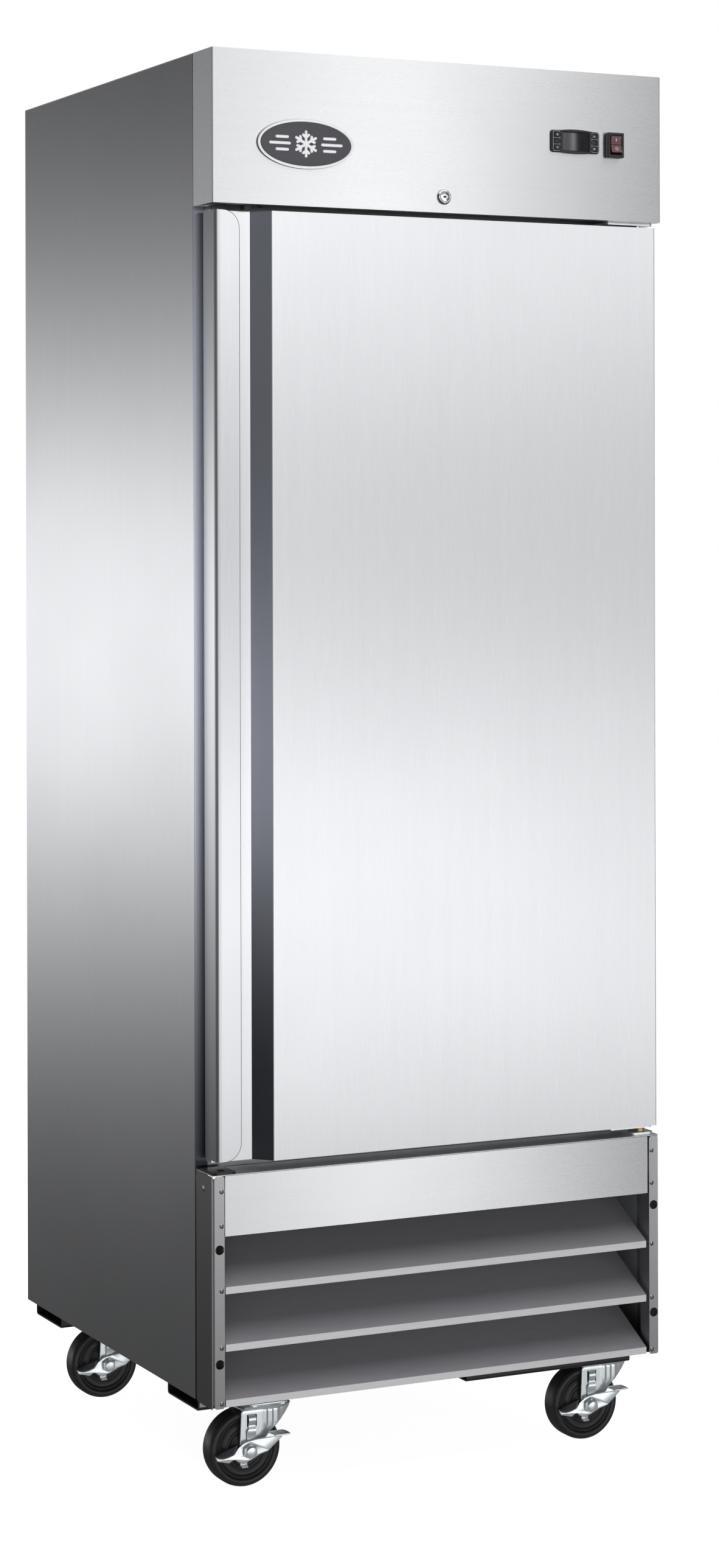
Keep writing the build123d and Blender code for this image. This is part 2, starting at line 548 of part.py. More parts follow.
def rear_grille():
    """The slotted rear cover with its louvre slots, and the gland for the supply cord."""
    edge = HALF - SHEET - 0.1
    gland_x, gland_z, back = 322, 176, CABINET_BACK
    cover = block(-edge, edge, back - SHEET, back, 150, DECK - SHEET - 0.2)
    for slot_x in (-240, -80, 80, 240):
        for row in range(9):
            cover -= plate_xz(120, 8, 3.9, slot_x, 186 + row * 26, back - 5, back + 5)
    cover -= pin_y(9.2, gland_x, gland_z, back - 5, back + 5)
    gland = pin_y(9, gland_x, gland_z, back - 12, back + 1) + pin_y(13, gland_x, gland_z, back, back + 8)
    gland = fillet(gland.edges().filter_by(GeomType.CIRCLE).sort_by(Axis.Y)[-1], 2.5)
    return cover, gland - pin_y(4.5, gland_x, gland_z, back - 20, back + 20)


def wall_spacers():
    """Bumpers that hold the cabinet off the wall."""
    bumper = pin_y(16, 0, 0, CABINET_BACK, CABINET_BACK + SPACER_DEPTH)
    bumper = chamfer(bumper.edges().filter_by(GeomType.CIRCLE).sort_by(Axis.Y)[-1], 4)
    return [Pos(x, 0, z) * bumper for x in (-280, 280) for z in (620, 1880)]


# ---------------------------------------------------------------- cold compartment

def evaporator():
    """The cooling unit under the roof: a sheet case with a fan opening below, and its finned coil."""
    x, y, z = EVAPORATOR_FAN_AT
    half, front, back, wall = 285, 150, 520, 1.5
    low, high = z - 7, LINER_ROOF - SHEET - 0.2
    case = block(-half, half, front, back, low, high)
    case -= block(-half + wall, half - wall, front + wall, back - wall, low + wall, high - wall)
    case -= post(EVAPORATOR_FAN_RADIUS + 8, x, y, z - 20, z + 20)
    case -= block(-half + 15, half - 15, back - 1 - wall, back + 5, z + 30, high - 20)
    motor = post(30, x, y, z + 30, high) + post(FAN_SHAFT, x, y, z - 10, z + 31)
    coil = block(-half + 25, half - 25, 440, 510, z + 20, high - 8)
    for step in range(20):
        left = -250 + step * 25.4
        coil -= block(left, left + 17, 439, 447, z + 24, high - 12)
    return case + motor, coil


def evaporator_fan():
    return Pos(*EVAPORATOR_FAN_AT) * fan(EVAPORATOR_FAN_RADIUS, 22, 5, 14, FAN_SHAFT)


def interior_lamp():
    lamp = block(-160, 160, 118, 140, 1786, MOUTH_TOP + 4)
    return fillet(lamp.edges().group_by(Axis.Z)[0], 3)


def shelf_supports():
    """Four slotted pilasters and the clips that hook into them under each shelf."""
    wall = LINER_HALF - SHEET
    rail = block(wall - 7, wall - 0.1, -11, 11, 560, 1780)
    slots = [block(wall - 8, wall - 3, -5, 5, 580 + n * 38, 588 + n * 38) for n in range(31)]
    rail = rail - Compound(children=slots)
    clip = block(wall - 17, wall - 7.1, -8, 8, -10, 0) - block(wall - 18, wall - 13, -9, 9, -6, 1)
    solids = []
    for y in (190, 620):
        solids += [Pos(0, y, 0) * rail, Pos(0, y, 0) * mirrored(rail)]
        for level in SHELF_LEVELS:
            solids += [Pos(0, y, level) * clip, Pos(0, y, level) * mirrored(clip)]
    return solids


def wire_shelf():
    """A welded wire shelf: a bent rim, three cross wires and close front-to-back wires."""
    half, front, back = 290, 136, 684
    rim = FilletPolyline((half, front, 0), (half, back, 0), (-half, back, 0), (-half, front, 0),
                         (half, front, 0), radius=18, close=True)
    shelf = sweep(Plane(rim @ 0, z_dir=rim % 0) * Circle(4), path=rim)
    for y in (front + 90, (front + back) / 2, back - 90):
        shelf += Pos(0, y, -1) * Rot(0, 90, 0) * Cylinder(3, 2 * half)
    for number in range(23):
        x = -half + 24.2 * (number + 1)
        wire = Pos(x, (front + back) / 2, 3) * Rot(90, 0, 0) * Cylinder(1.8, back - front + 4)
        shelf += wire
    return shelf


# ---------------------------------------------------------------- fasteners and casters

def fasteners():
    """Column screws, side rivets and the screws of the upper hinge bracket."""
    solids = []
    head = Pos(0, COLUMN_FRONT, 0) * Rot(90, 0, 0) * Pos(0, 0, 1.0) * Cylinder(4, 2.0)
    head = fillet(head.edges().filter_by(GeomType.CIRCLE).sort_by(Axis.Y)[0], 1.4)
    for side in (-1, 1):
        for level in SCREW_LEVELS:
            solids.append(Pos(side * (COLUMN_INNER + 6), 0, level) * head)
        rivet = Cone(4.5, 3.2, 0.8)
        solids.append(Pos(side * (HALF - 0.4), 41.5, 453) * Rot(0, side * 90, 0) * rivet)
    for x in (302, 322):
        solids.append(post(5, x, 50, HEADER_BOTTOM - 6.2, HEADER_BOTTOM - 3.8))
    return solids


def caster_plate(x, y):
    """The bolted top plate with its ball race."""
    top, thickness = CHANNEL_BOTTOM - 0.1, 3.0
    plate = block(x - 30, x + 30, y - 35, y + 35, top - thickness, top)
    plate = fillet(plate.edges().filter_by(Axis.Z), 6)
    plate += post(RACE_RADIUS, x, y, top - RACE_DROP, top - thickness)
    for dx in (-22, 22):
        for dy in (-27, 27):
            plate += post(5.5, x + dx, y + dy, top - 6, top - thickness)
    return plate + post(SWIVEL_RADIUS, x, y, top - 12.5, top - thickness)


def fork(x, y):
    """Crown and two pressed legs, with the axle bolt and the spring leaf of the brake."""
    crown_top = CHANNEL_BOTTOM - 7.0
    crown = post(CROWN_RADIUS, x, y, crown_top - 3, crown_top)
    crown &= block(x - 46, x + 46, y - FORK_HALF, y + FORK_HALF, 0, 200)
    crown -= post(SWIVEL_RADIUS + RUNNING, x, y, 60, 200)
    axle_x = x - TRAIL
    leg_points = [(x - 38, crown_top - 1), (x - 41, WHEEL_RADIUS + 4), (x - 41, WHEEL_RADIUS - 8),
                  (x - 34, WHEEL_RADIUS - 14), (x - 25, WHEEL_RADIUS - 14), (x - 17, WHEEL_RADIUS - 5),
                  (x + 12, WHEEL_RADIUS + 21), (x + 38, crown_top - 1)]
    legs = [face_xz(leg_points, y - FORK_HALF, y - FORK_HALF + FORK_SHEET),
            face_xz(leg_points, y + FORK_HALF - FORK_SHEET, y + FORK_HALF)]
    bolt = pin_y(AXLE_RADIUS, axle_x, WHEEL_RADIUS, y - 36, y + 30)
    head = pin_y(8, axle_x, WHEEL_RADIUS, y - 40, y - 33)
    head = fillet(head.edges().filter_by(GeomType.CIRCLE).sort_by(Axis.Y)[0], 1)
    nut = pin_y(8, axle_x, WHEEL_RADIUS, y + 22, y + 29)
    leaf = face_yz([(y - 22.4, 104), (y - 26, 103), (y - 26, 92), (y - 24, 88), (y - 26, 84), (y - 24.4, 78),
                    (y - 24.4, 74), (y - 22.4, 74)], x - 29, x - 19)
    return crown + legs[0] + legs[1] + bolt + head + nut + leaf


def wheel(x, y):
    """A hard rubber tyre on its hub, turned from one section."""
    half, inner = WHEEL_WIDTH / 2, AXLE_RADIUS + RUNNING
    points = [(inner, -HUB_HALF), (11, -HUB_HALF), (13, -half + 4), (26, -half + 5), (28, -half + 3.2),
              (40, -half + 3.2), (41.5, -half + 5), (43, -half + 1.2), (49, -half), (54, -half + 2.5),
              (WHEEL_RADIUS, -half + 6)]
    outline = points + [(r, -t) for r, t in reversed(points)]
    section = make_face(Polyline(*outline, close=True))
    disc = revolve(Plane.XZ * section, Axis.Z)
    return Pos(x - TRAIL, y, WHEEL_RADIUS) * Rot(90, 0, 0) * disc


def brake(x, y):
    """The brake rocker on the axle bolt: a left pedal to lock, a right pedal to release."""
    axle_x, axle_z = x - TRAIL, WHEEL_RADIUS
    front, back = y - 30.5, y - 28
    points = [(-54, -2.5), (-51, -9.5), (-32, -14), (-24, -9), (-18, -14), (-10, -18), (3, -13), (17, -6),
              (28, -2), (50, 15), (56, 21), (30, 21), (24, 18), (9, 15.5), (-4, 13.5), (-10, 11.5), (-18, 6),
              (-24, -2.5), (-33, -5.5), (-49, -6)]
    plate = face_xz([(axle_x + px, axle_z + pz) for px, pz in points], front, back)
    pad = [(front, axle_z - 6.5), (y - 22.6, axle_z - 1.5), (y - 22.6, axle_z - 4), (front, axle_z - 9)]
    left = face_yz(pad, axle_x - 50, axle_x - 24)
    right = block(axle_x + 28, axle_x + 58, y - 46, back, axle_z + 18.6, axle_z + 21)
    tab = block(axle_x - 10, axle_x, front, back + 2.5, axle_z - 24, axle_z - 15)
    return plate + left + right + tab - pin_y(AXLE_RADIUS + RUNNING, axle_x, axle_z, y - 60, y)


# ---------------------------------------------------------------- write every node

save("side_panel_right", side_panel())
save("side_panel_left", mirrored(side_panel()))
save("top_panel", block(-HALF, HALF, 7, CABINET_BACK, ROOF + 0.02, HEIGHT))
save("back_panel", back_panel())
save("cabinet_floor", cabinet_floor())
save("insulation", *insulation())
save("inner_liner", inner_liner())
save("front_frame", front_frame())

save("header_shell", header_shell())
save("header_panel", header_panel())
save("badge", badge())
save("controller_case", controller_case())
save("controller_display", controller_display())
for side_name, side_sign in (("left", -1), ("right", 1)):
    for row_name in KEY_ROWS:
        save(f"key_{side_name}_{row_name}", controller_key(side_sign, row_name))
save("switch_bezel", switch_bezel())
save("power_rocker", power_rocker())
save("lock_barrel", lock_barrel())
save("lock_plug", lock_plug())

save("door_skin", door_skin())
save("door_liner", door_liner())
save("door_insulation", *door_insulation())
save("gasket", gasket())
save("handle", handle())
save("door_hinge_plates", *door_hinge_plates())
save("hinge_brackets", *hinge_brackets())

save("column_right", *column())
save("column_left", *[mirrored(piece) for piece in column()])
save("lower_panel", lower_panel())
save("louvres", *[louvre(lip_top) for lip_top in LIP_TOPS])
save("base_frame", *base_frame())
save("compressor", compressor())
save("condenser", condenser())
save("condenser_fan", condenser_fan())
save("refrigerant_lines", *refrigerant_lines())
save("rear_grille", *rear_grille())
save("wall_spacers", *wall_spacers())

save("evaporator", *evaporator())
save("evaporator_fan", evaporator_fan())
save("interior_lamp", interior_lamp())
save("shelf_supports", *shelf_supports())
save("wire_shelves", *[Pos(0, 0, level + 4) * wire_shelf() for level in SHELF_LEVELS])

save("fasteners", *fasteners())
corners = [(f"{end}_{side}", CASTER_X[side], CASTER_Y[end]) for end in CASTER_Y for side in CASTER_X]
save("caster_plates", *[caster_plate(x, y) for name, x, y in corners])
for name, x, y in corners:
    save(f"fork_{name}", fork(x, y))
    save(f"wheel_{name}", wheel(x, y))
    save(f"brake_{name}", brake(x, y))
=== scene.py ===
"""Looks of the one-door reach-in refrigerator: materials for the CAD sheet metal, some with painted shade and
highlights, and detailed pieces for the badge, controller, switch, lock, screws, hinge trim, a painted shadow
along the handle edge, door seal and casters. Front towards -Y.
Meshes are drawn in millimetres, and everything else is in metres."""

import json
import math

import bmesh
import bpy
from mathutils import Matrix, Vector

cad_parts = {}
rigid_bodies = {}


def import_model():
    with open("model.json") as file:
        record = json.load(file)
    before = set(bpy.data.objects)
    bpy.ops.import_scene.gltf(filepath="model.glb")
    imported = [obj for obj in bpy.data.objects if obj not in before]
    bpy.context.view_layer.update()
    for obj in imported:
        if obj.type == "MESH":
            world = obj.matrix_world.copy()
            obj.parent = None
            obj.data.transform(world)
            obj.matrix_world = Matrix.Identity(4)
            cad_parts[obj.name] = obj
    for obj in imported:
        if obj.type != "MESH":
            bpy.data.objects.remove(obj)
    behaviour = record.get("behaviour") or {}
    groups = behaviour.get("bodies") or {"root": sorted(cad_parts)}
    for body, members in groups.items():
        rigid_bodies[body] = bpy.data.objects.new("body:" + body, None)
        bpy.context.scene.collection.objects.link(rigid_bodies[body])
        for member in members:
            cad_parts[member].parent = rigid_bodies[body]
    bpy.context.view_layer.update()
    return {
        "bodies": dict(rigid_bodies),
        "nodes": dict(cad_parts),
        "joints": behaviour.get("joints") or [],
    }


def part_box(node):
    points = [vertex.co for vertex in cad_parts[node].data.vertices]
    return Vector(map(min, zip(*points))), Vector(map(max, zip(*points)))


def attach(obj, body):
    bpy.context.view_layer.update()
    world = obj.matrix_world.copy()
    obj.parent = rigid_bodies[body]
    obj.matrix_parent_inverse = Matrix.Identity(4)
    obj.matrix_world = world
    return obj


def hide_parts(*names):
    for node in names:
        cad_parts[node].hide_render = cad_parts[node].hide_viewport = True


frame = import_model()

NODES = frame["nodes"]
MM = 0.001


# ---------- shader arithmetic

class Signal:
    """A node's output. Plain arithmetic on it makes Math nodes."""

    def __init__(self, socket):
        self.socket = socket

    def __add__(self, other):
        return math_node("ADD", self, other)

    def __mul__(self, other):
        return math_node("MULTIPLY", self, other)

    def __sub__(self, other):
        return math_node("SUBTRACT", self, other)

    def __rsub__(self, other):
        return math_node("SUBTRACT", other, self)

    def __truediv__(self, other):
        return math_node("DIVIDE", self, other)

    def __neg__(self):
        return self * -1.0

    __radd__, __rmul__ = __add__, __mul__


def feed(socket, value):
    """Gives an input a signal, a number or a colour."""
    if isinstance(value, Signal):
        socket.id_data.links.new(value.socket, socket)
    elif socket.type == "RGBA":
        socket.default_value = (*value, 1)
    else:
        socket.default_value = value


def math_node(operation, *values):
    """One Math node; at least one of its values is a signal."""
    tree = next(value.socket.id_data for value in values if isinstance(value, Signal))
    node = tree.nodes.new("ShaderNodeMath")
    node.operation = operation
    for socket, value in zip(node.inputs, values):
        feed(socket, value)
    return Signal(node.outputs[0])


def bell(value, centre, width):
    """exp(-((value - centre) / width) squared)"""
    offset = (value - centre) / width
    return math_node("EXPONENT", -(offset * offset))


def map_range(value, from_low, from_high, low=0.0, high=1.0, kind="LINEAR"):
    node = value.socket.id_data.nodes.new("ShaderNodeMapRange")
    node.interpolation_type = kind
    for socket, number in zip(("Value", "From Min", "From Max", "To Min", "To Max"),
                              (value, from_low, from_high, low, high)):
        feed(node.inputs[socket], number)
    return Signal(node.outputs["Result"])


def smooth_step(value, low, high):
    """0 at low and 1 at high, eased between them."""
    return map_range(value, low, high, kind="SMOOTHSTEP")


def spread(value, low, high):
    """Maps the middle range of a noise value onto low..high."""
    return map_range(value, 0.3, 0.7, low, high)


def split(vector):
    """The three parts of a vector output."""
    node = vector.id_data.nodes.new("ShaderNodeSeparateXYZ")
    vector.id_data.links.new(vector, node.inputs[0])
    return [Signal(output) for output in node.outputs]


def mixed(factor, first, second):
    """A blend of two colours."""
    node = factor.socket.id_data.nodes.new("ShaderNodeMix")
    node.data_type = "RGBA"
    for name, value in (("Factor", factor), ("A", first), ("B", second)):
        feed(node.inputs[name], value)
    return Signal(node.outputs["Result"])


def tinted(color, gain):
    """A colour multiplied by a signal."""
    node = gain.socket.id_data.nodes.new("ShaderNodeVectorMath")
    node.operation = "SCALE"
    feed(node.inputs[0], color)
    feed(node.inputs["Scale"], gain)
    return Signal(node.outputs[0])


def noise(tree, scale, detail=2.0, roughness=0.5):
    """A noise value over the object's own coordinates, stretched by a scale for each axis."""
    place = tree.nodes.new("ShaderNodeTexCoord")
    mapping = tree.nodes.new("ShaderNodeMapping")
    mapping.inputs["Scale"].default_value = scale
    texture = tree.nodes.new("ShaderNodeTexNoise")
    texture.inputs["Scale"].default_value = 1.0
    texture.inputs["Detail"].default_value = detail
    texture.inputs["Roughness"].default_value = roughness
    tree.links.new(place.outputs["Object"], mapping.inputs["Vector"])
    tree.links.new(mapping.outputs[0], texture.inputs["Vector"])
    return Signal(texture.outputs["Fac"])


def object_place(tree):
    """X, Y and Z on the object, in metres."""
    return split(tree.nodes.new("ShaderNodeTexCoord").outputs["Object"])


# ---------- materials

def new_material(metallic=0.0):
    material = bpy.data.materials.new("finish")
    material.use_nodes = True
    shader = material.node_tree.nodes["Principled BSDF"]
    shader.inputs["Metallic"].default_value = metallic
    return material, material.node_tree, shader


def cover(shader, color, roughness, texture=None, strength=0.0, depth=0.0002):
    """Gives a shader its colour and roughness, and a bump of a depth in metres if there is a texture."""
    feed(shader.inputs["Base Color"], color)
    feed(shader.inputs["Roughness"], roughness)
    if texture:
        bump = shader.id_data.nodes.new("ShaderNodeBump")
        bump.inputs["Strength"].default_value = strength
        bump.inputs["Distance"].default_value = depth
        feed(bump.inputs["Height"], texture)
        feed(shader.inputs["Normal"], Signal(bump.outputs[0]))


def overpaint(material, where, color):
    """Lays a colour over a material's base colour, where a signal is 1."""
    base = material.node_tree.nodes["Principled BSDF"].inputs["Base Color"]
    feed(base, mixed(where, Signal(base.links[0].from_socket), color))


GRAIN = {"vertical": (1300, 1300, 26), "horizontal": (26, 1300, 1300)}
STREAK = {"vertical": (90, 90, 2.2), "horizontal": (2.2, 90, 90)}


def brush_marks(tree, grain):
    return noise(tree, GRAIN[grain], detail=3.0, roughness=0.65)


def brushed_steel(grain, color, roughness, anisotropy, metallic=1.0):
    """Stainless sheet: fine brush marks, broader faint streaks, and handling haze in the roughness."""
    material, tree, shader = new_material(metallic)
    shader.inputs["Anisotropic"].default_value = anisotropy
    shader.inputs["Anisotropic Rotation"].default_value = 0.25 if grain == "horizontal" else 0.0
    marks = brush_marks(tree, grain)
    streaks = noise(tree, STREAK[grain])
    haze = noise(tree, (2.1, 2.1, 2.6), detail=3.0)
    tone = spread(marks, 0.96, 1.035) * spread(streaks, 0.992, 1.008)
    rough = spread(marks, roughness - 0.012, roughness + 0.012) + spread(haze, -0.01, 0.015)
    cover(shader, tinted(color, tone), rough, marks, 0.006, 0.0001)
    return material


def shade_painted_sheet(axis, band, tone, painted_sheen, painted_fade=None):
    """Upright brushed sheet with painted shade, a dark bluish colour, on a band between two places along an
    axis. Its tone is a base level plus a painted sheen at one height, and it may be darker towards the floor.
    Metres."""
    material = brushed_steel("vertical", STEEL, 0.30, 0.95)
    place = object_place(material.node_tree)
    height = place[2]
    low, high = band
    # Painted shade: this band of the sheet is recoloured a dark bluish level that stands for the shade there.
    painted_shade_band = smooth_step(place[axis], low, low + MM) * smooth_step(place[axis], high, high - MM)
    centre, width, gain = painted_sheen
    # The painted shade's level: a base tone plus a painted sheen at one height.
    level = bell(height, centre, width) * gain + tone
    # Painted shade that grows darker towards the floor.
    if painted_fade:
        start, end, loss = painted_fade
        level = (1 - smooth_step(height, start, end) * loss) * level
    overpaint(material, painted_shade_band, tinted((0.93, 0.97, 1.10), level))
    return material


def satin_sheet():
    """The louvres' dull sheet, with its upright front-facing lip painted lighter and more metallic: a painted
    highlight.
    """
    material, tree, shader = new_material()
    facing = split(tree.nodes.new("ShaderNodeNewGeometry").outputs["Normal"])
    # Painted highlight: faces turned to the front get a lighter colour and more metal than the rest of the
    # same sheet.
    painted_lip_highlight = smooth_step(-facing[1], 0.96, 0.99)
    feed(shader.inputs["Metallic"], map_range(painted_lip_highlight, 0.0, 1.0, 0.3, 0.9))
    marks = brush_marks(tree, "horizontal")
    color = mixed(painted_lip_highlight, (0.42, 0.42, 0.45), (0.86, 0.86, 0.87))
    cover(shader, tinted(color, spread(marks, 0.9, 1.08)), spread(marks, 0.42, 0.52), marks, 0.02, 0.0001)
    return material


def mottled(color, roughness, metallic, change, grain, bump):
    """Any other finish: a base colour with slight mottling, uneven roughness and a fine surface texture."""
    material, tree, shader = new_material(metallic)
    fine = noise(tree, (grain,) * 3, detail=4.0, roughness=0.6)
    broad = noise(tree, (9,) * 3, detail=3.0)
    gain = spread(fine, 1 - change, 1 + change) * spread(broad, 1 - change / 2, 1 + change / 2)
    cover(shader, tinted(color, gain), spread(broad, roughness - 0.05, roughness + 0.06), fine, bump)
    return material


def zinc_plate():
    """Bright zinc plating: cool and smooth, with faint cloudy passivation and soft wipe marks."""
    material, tree, shader = new_material(0.75)
    cloud = noise(tree, (34, 34, 34), detail=4.0)
    wipe = noise(tree, (150, 150, 22), detail=3.0)
    gain = spread(cloud, 0.96, 1.03) * spread(wipe, 0.975, 1.02)
    cover(shader, tinted((0.84, 0.885, 0.905), gain), spread(cloud, 0.22, 0.30), wipe, 0.02)
    return material


def bracket_finish():
    """Zinc on the hinge side and black paint on the spare plate at the left."""
    material = zinc_plate()
    overpaint(material, smooth_step(object_place(material.node_tree)[0], 0.01, -0.01), (0.035, 0.033, 0.033))
    return material


def hard_rubber(color):
    """Moulded black rubber: satin, with scuffed grey dust and fine moulding texture."""
    material, tree, shader = new_material()
    dust = noise(tree, (60,) * 3, detail=5.0, roughness=0.65)
    fine = noise(tree, (700,) * 3)
    scuffed = mixed(map_range(dust, 0.45, 0.8, 0.0, 0.5), color, (0.034, 0.032, 0.031))
    cover(shader, scuffed, spread(dust, 0.34, 0.5), fine, 0.12)
    return material


def glass_window():
    """A near-black display window with a faint bluish gloss."""
    material, tree, shader = new_material()
    smear = noise(tree, (120, 120, 60), detail=3.0)
    cover(shader, tinted((0.012, 0.012, 0.014), spread(smear, 0.8, 1.4)), spread(smear, 0.05, 0.12))
    return material


def ruby_plastic():
    """The rocker's dark red glossy moulding."""
    material, tree, shader = new_material()
    swirl = noise(tree, (90,) * 3, detail=3.0)
    cover(shader, tinted((0.085, 0.012, 0.018), spread(swirl, 0.85, 1.2)), spread(swirl, 0.16, 0.26))
    shader.inputs["Coat Weight"].default_value = 0.4
    shader.inputs["Coat Roughness"].default_value = 0.08
    return material


STEEL = (0.79, 0.80, 0.81)
MATERIALS = {
    "sheet_horizontal": brushed_steel("horizontal", (0.62, 0.63, 0.635), 0.27, 0.95),
    # The door's recess wall and a front strip of the side panels carry painted shade with a painted sheen at
    # one height.
    "door_sheet": shade_painted_sheet(0, (-0.2936, -0.2696), 0.34, (1.10, 0.24, 0.38), (1.0, 0.6, 0.75)),
    "side_sheet": shade_painted_sheet(1, (-0.3200, -0.3160), 0.03, (1.30, 0.48, 0.85)),
    "handle_steel": brushed_steel("vertical", (0.57, 0.58, 0.59), 0.24, 0.8),
    "sheet_flat": brushed_steel("horizontal", (0.70, 0.71, 0.72), 0.38, 0.0),
    # A darker copy of the stainless sheet: painted shade on both columns and on the front frame beside the
    # door.
    "shade_darkened_sheet": brushed_steel("vertical", (0.47, 0.47, 0.475), 0.30, 0.9),
    "blade_steel": satin_sheet(),
    "liner_steel": brushed_steel("vertical", (0.74, 0.75, 0.76), 0.42, 0.5, metallic=0.6),
    "zinc": zinc_plate(),
    "bracket": bracket_finish(),
    "tyre": hard_rubber((0.013, 0.013, 0.014)),
    "bumper": hard_rubber((0.02, 0.02, 0.02)),
    "display_glass": glass_window(),
    "ruby": ruby_plastic(),
}
# Colour, roughness, metallic, change of tone, grain per metre, strength of the bump
MOTTLED = {
    "galvanised": ((0.50, 0.52, 0.53), 0.42, 1.0, 0.12, 60, 0.1),
    "foam": ((0.80, 0.70, 0.42), 0.9, 0.0, 0.15, 400, 0.4),
    "black_paint": ((0.012, 0.012, 0.013), 0.38, 0.0, 0.15, 300, 0.15),
    "black_plastic": ((0.020, 0.020, 0.024), 0.42, 0.0, 0.12, 900, 0.12),
    "pad_rubber": ((0.085, 0.085, 0.09), 0.45, 0.0, 0.12, 500, 0.08),
    "charcoal_enamel": ((0.055, 0.055, 0.065), 0.35, 0.0, 0.10, 500, 0.05),
    "white_enamel": ((0.86, 0.87, 0.88), 0.30, 0.0, 0.03, 300, 0.03),
    "chrome": ((0.78, 0.78, 0.79), 0.14, 1.0, 0.03, 200, 0.02),
    "brass": ((0.72, 0.50, 0.22), 0.30, 1.0, 0.08, 200, 0.05),
    "copper": ((0.72, 0.36, 0.22), 0.32, 1.0, 0.12, 120, 0.05),
    "gasket_vinyl": ((0.055, 0.055, 0.058), 0.55, 0.0, 0.1, 500, 0.1),
    "fins": ((0.60, 0.61, 0.62), 0.4, 1.0, 0.15, 500, 0.3),
    "shelf_coat": ((0.72, 0.73, 0.72), 0.38, 0.0, 0.05, 400, 0.06),
    "lamp_cover": ((0.85, 0.85, 0.80), 0.35, 0.0, 0.03, 300, 0.03),
    "print": ((0.62, 0.64, 0.68), 0.5, 0.0, 0.04, 400, 0.02),
    "screw_steel": ((0.42, 0.42, 0.43), 0.30, 1.0, 0.1, 300, 0.05),
    "dark_steel": ((0.10, 0.10, 0.11), 0.36, 1.0, 0.15, 300, 0.1),
}
MATERIALS.update({name: mottled(*look) for name, look in MOTTLED.items()})
for name, material in MATERIALS.items():
    material.name = name

# The nodes that no detailed piece replaces
CAD_FINISH = {
    "door_sheet": "door_skin",
    "side_sheet": "side_panel_right side_panel_left",
    # The front frame and columns take the darker sheet as painted shade.
    "shade_darkened_sheet": "column_left column_right front_frame",
    "handle_steel": "handle",
    "sheet_horizontal": "header_panel header_shell lower_panel",
    "sheet_flat": "cabinet_floor top_panel",
    "blade_steel": "louvres",
    "liner_steel": "inner_liner door_liner evaporator",
    "galvanised": "back_panel rear_grille",
    "foam": "insulation door_insulation",
    "zinc": "shelf_supports door_hinge_plates",
    "bracket": "hinge_brackets",
    "black_paint": "base_frame compressor",
    "black_plastic": "condenser_fan evaporator_fan",
    "copper": "refrigerant_lines",
    "fins": "condenser",
    "shelf_coat": "wire_shelves",
    "lamp_cover": "interior_lamp",
    "bumper": "wall_spacers",
}
for finish, nodes in CAD_FINISH.items():
    for node in nodes.split():
        slots = NODES[node].data.materials
        slots.clear()
        slots.append(MATERIALS[finish])


# ---------- camera, light and floor

def make_camera():
    """A level long-lens view from the front left, at chest height, with the lens shifted down."""
    focal_in_heights = 2.09394
    yaw, roll = math.radians(25.962), math.radians(-0.133)
    data = bpy.data.cameras.new("camera")
    data.sensor_width = 36.0
    data.lens = focal_in_heights * data.sensor_width
    data.shift_x, data.shift_y = -0.0011, -0.1553
    data.clip_end = 100
    camera = bpy.data.objects.new("camera", data)
    forward = Vector((math.sin(yaw), math.cos(yaw), 0))
    right = Vector((math.cos(yaw), -math.sin(yaw), 0))
    up = Vector((0, 0, 1))
    x_axis = right * math.cos(roll) + up * math.sin(roll)
    y_axis = up * math.cos(roll) - right * math.sin(roll)
    turn = Matrix((x_axis, y_axis, -forward)).transposed()
    camera.matrix_world = Matrix.Translation((-2.2121, -4.65232, 1.37597)) @ turn.to_4x4()
    bpy.context.scene.collection.objects.link(camera)
    bpy.context.scene.camera = camera


# Columns of the front soft boxes: azimuth of the middle, width and gain
SOFT_COLUMNS = [(0.468, 0.060, 0.92), (0.17, 0.43, 0.62), (-0.55, 0.28, 0.60)]
EYE_LEVEL = -0.03
AMBIENT = 0.06
WORLD_TINT = {"Red": 0.993, "Green": 0.993, "Blue": 1.008}


def studio_level(direction):
    """How bright the studio is in a direction. Azimuth is in radians from straight in front, positive to the
    object's right as seen from the front, and height is the direction's Z."""
    east, north, height = split(direction)
    azimuth = math_node("ARCTAN2", east, -north)
    to_front = smooth_step(-north, -0.1, 0.35)

    # In front: a low and a high row of soft boxes, cut at the right by a flag with a darker low corner.
    rows = bell(height, -0.12, 0.09) + bell(height, 0.135, 0.085) * 1.22 + 0.22
    columns = sum(bell(azimuth, centre, width) * gain for centre, width, gain in SOFT_COLUMNS)
    flag = 1 - smooth_step(azimuth, 0.475, 0.60) * 0.72
    low_corner = smooth_step(azimuth, 0.49, 0.57) * smooth_step(height, -0.13, -0.22)
    boxes = rows * bell(height, EYE_LEVEL, 0.36) * columns * flag * (1 - low_corner * 0.8) * 2.85

    # All round: a band at eye level, bright behind and on the right, faint on the left.
    lit_side = smooth_step(azimuth, -1.88, -2.42) + smooth_step(azimuth, 0.80, 1.40)
    band = bell(height, EYE_LEVEL, 0.085) * 1.62 * (lit_side * 0.85 + 0.15)
    right_fill = bell(azimuth, 1.9, 0.6) * 0.16
    return boxes * to_front + band * (1 - to_front) + right_fill + AMBIENT


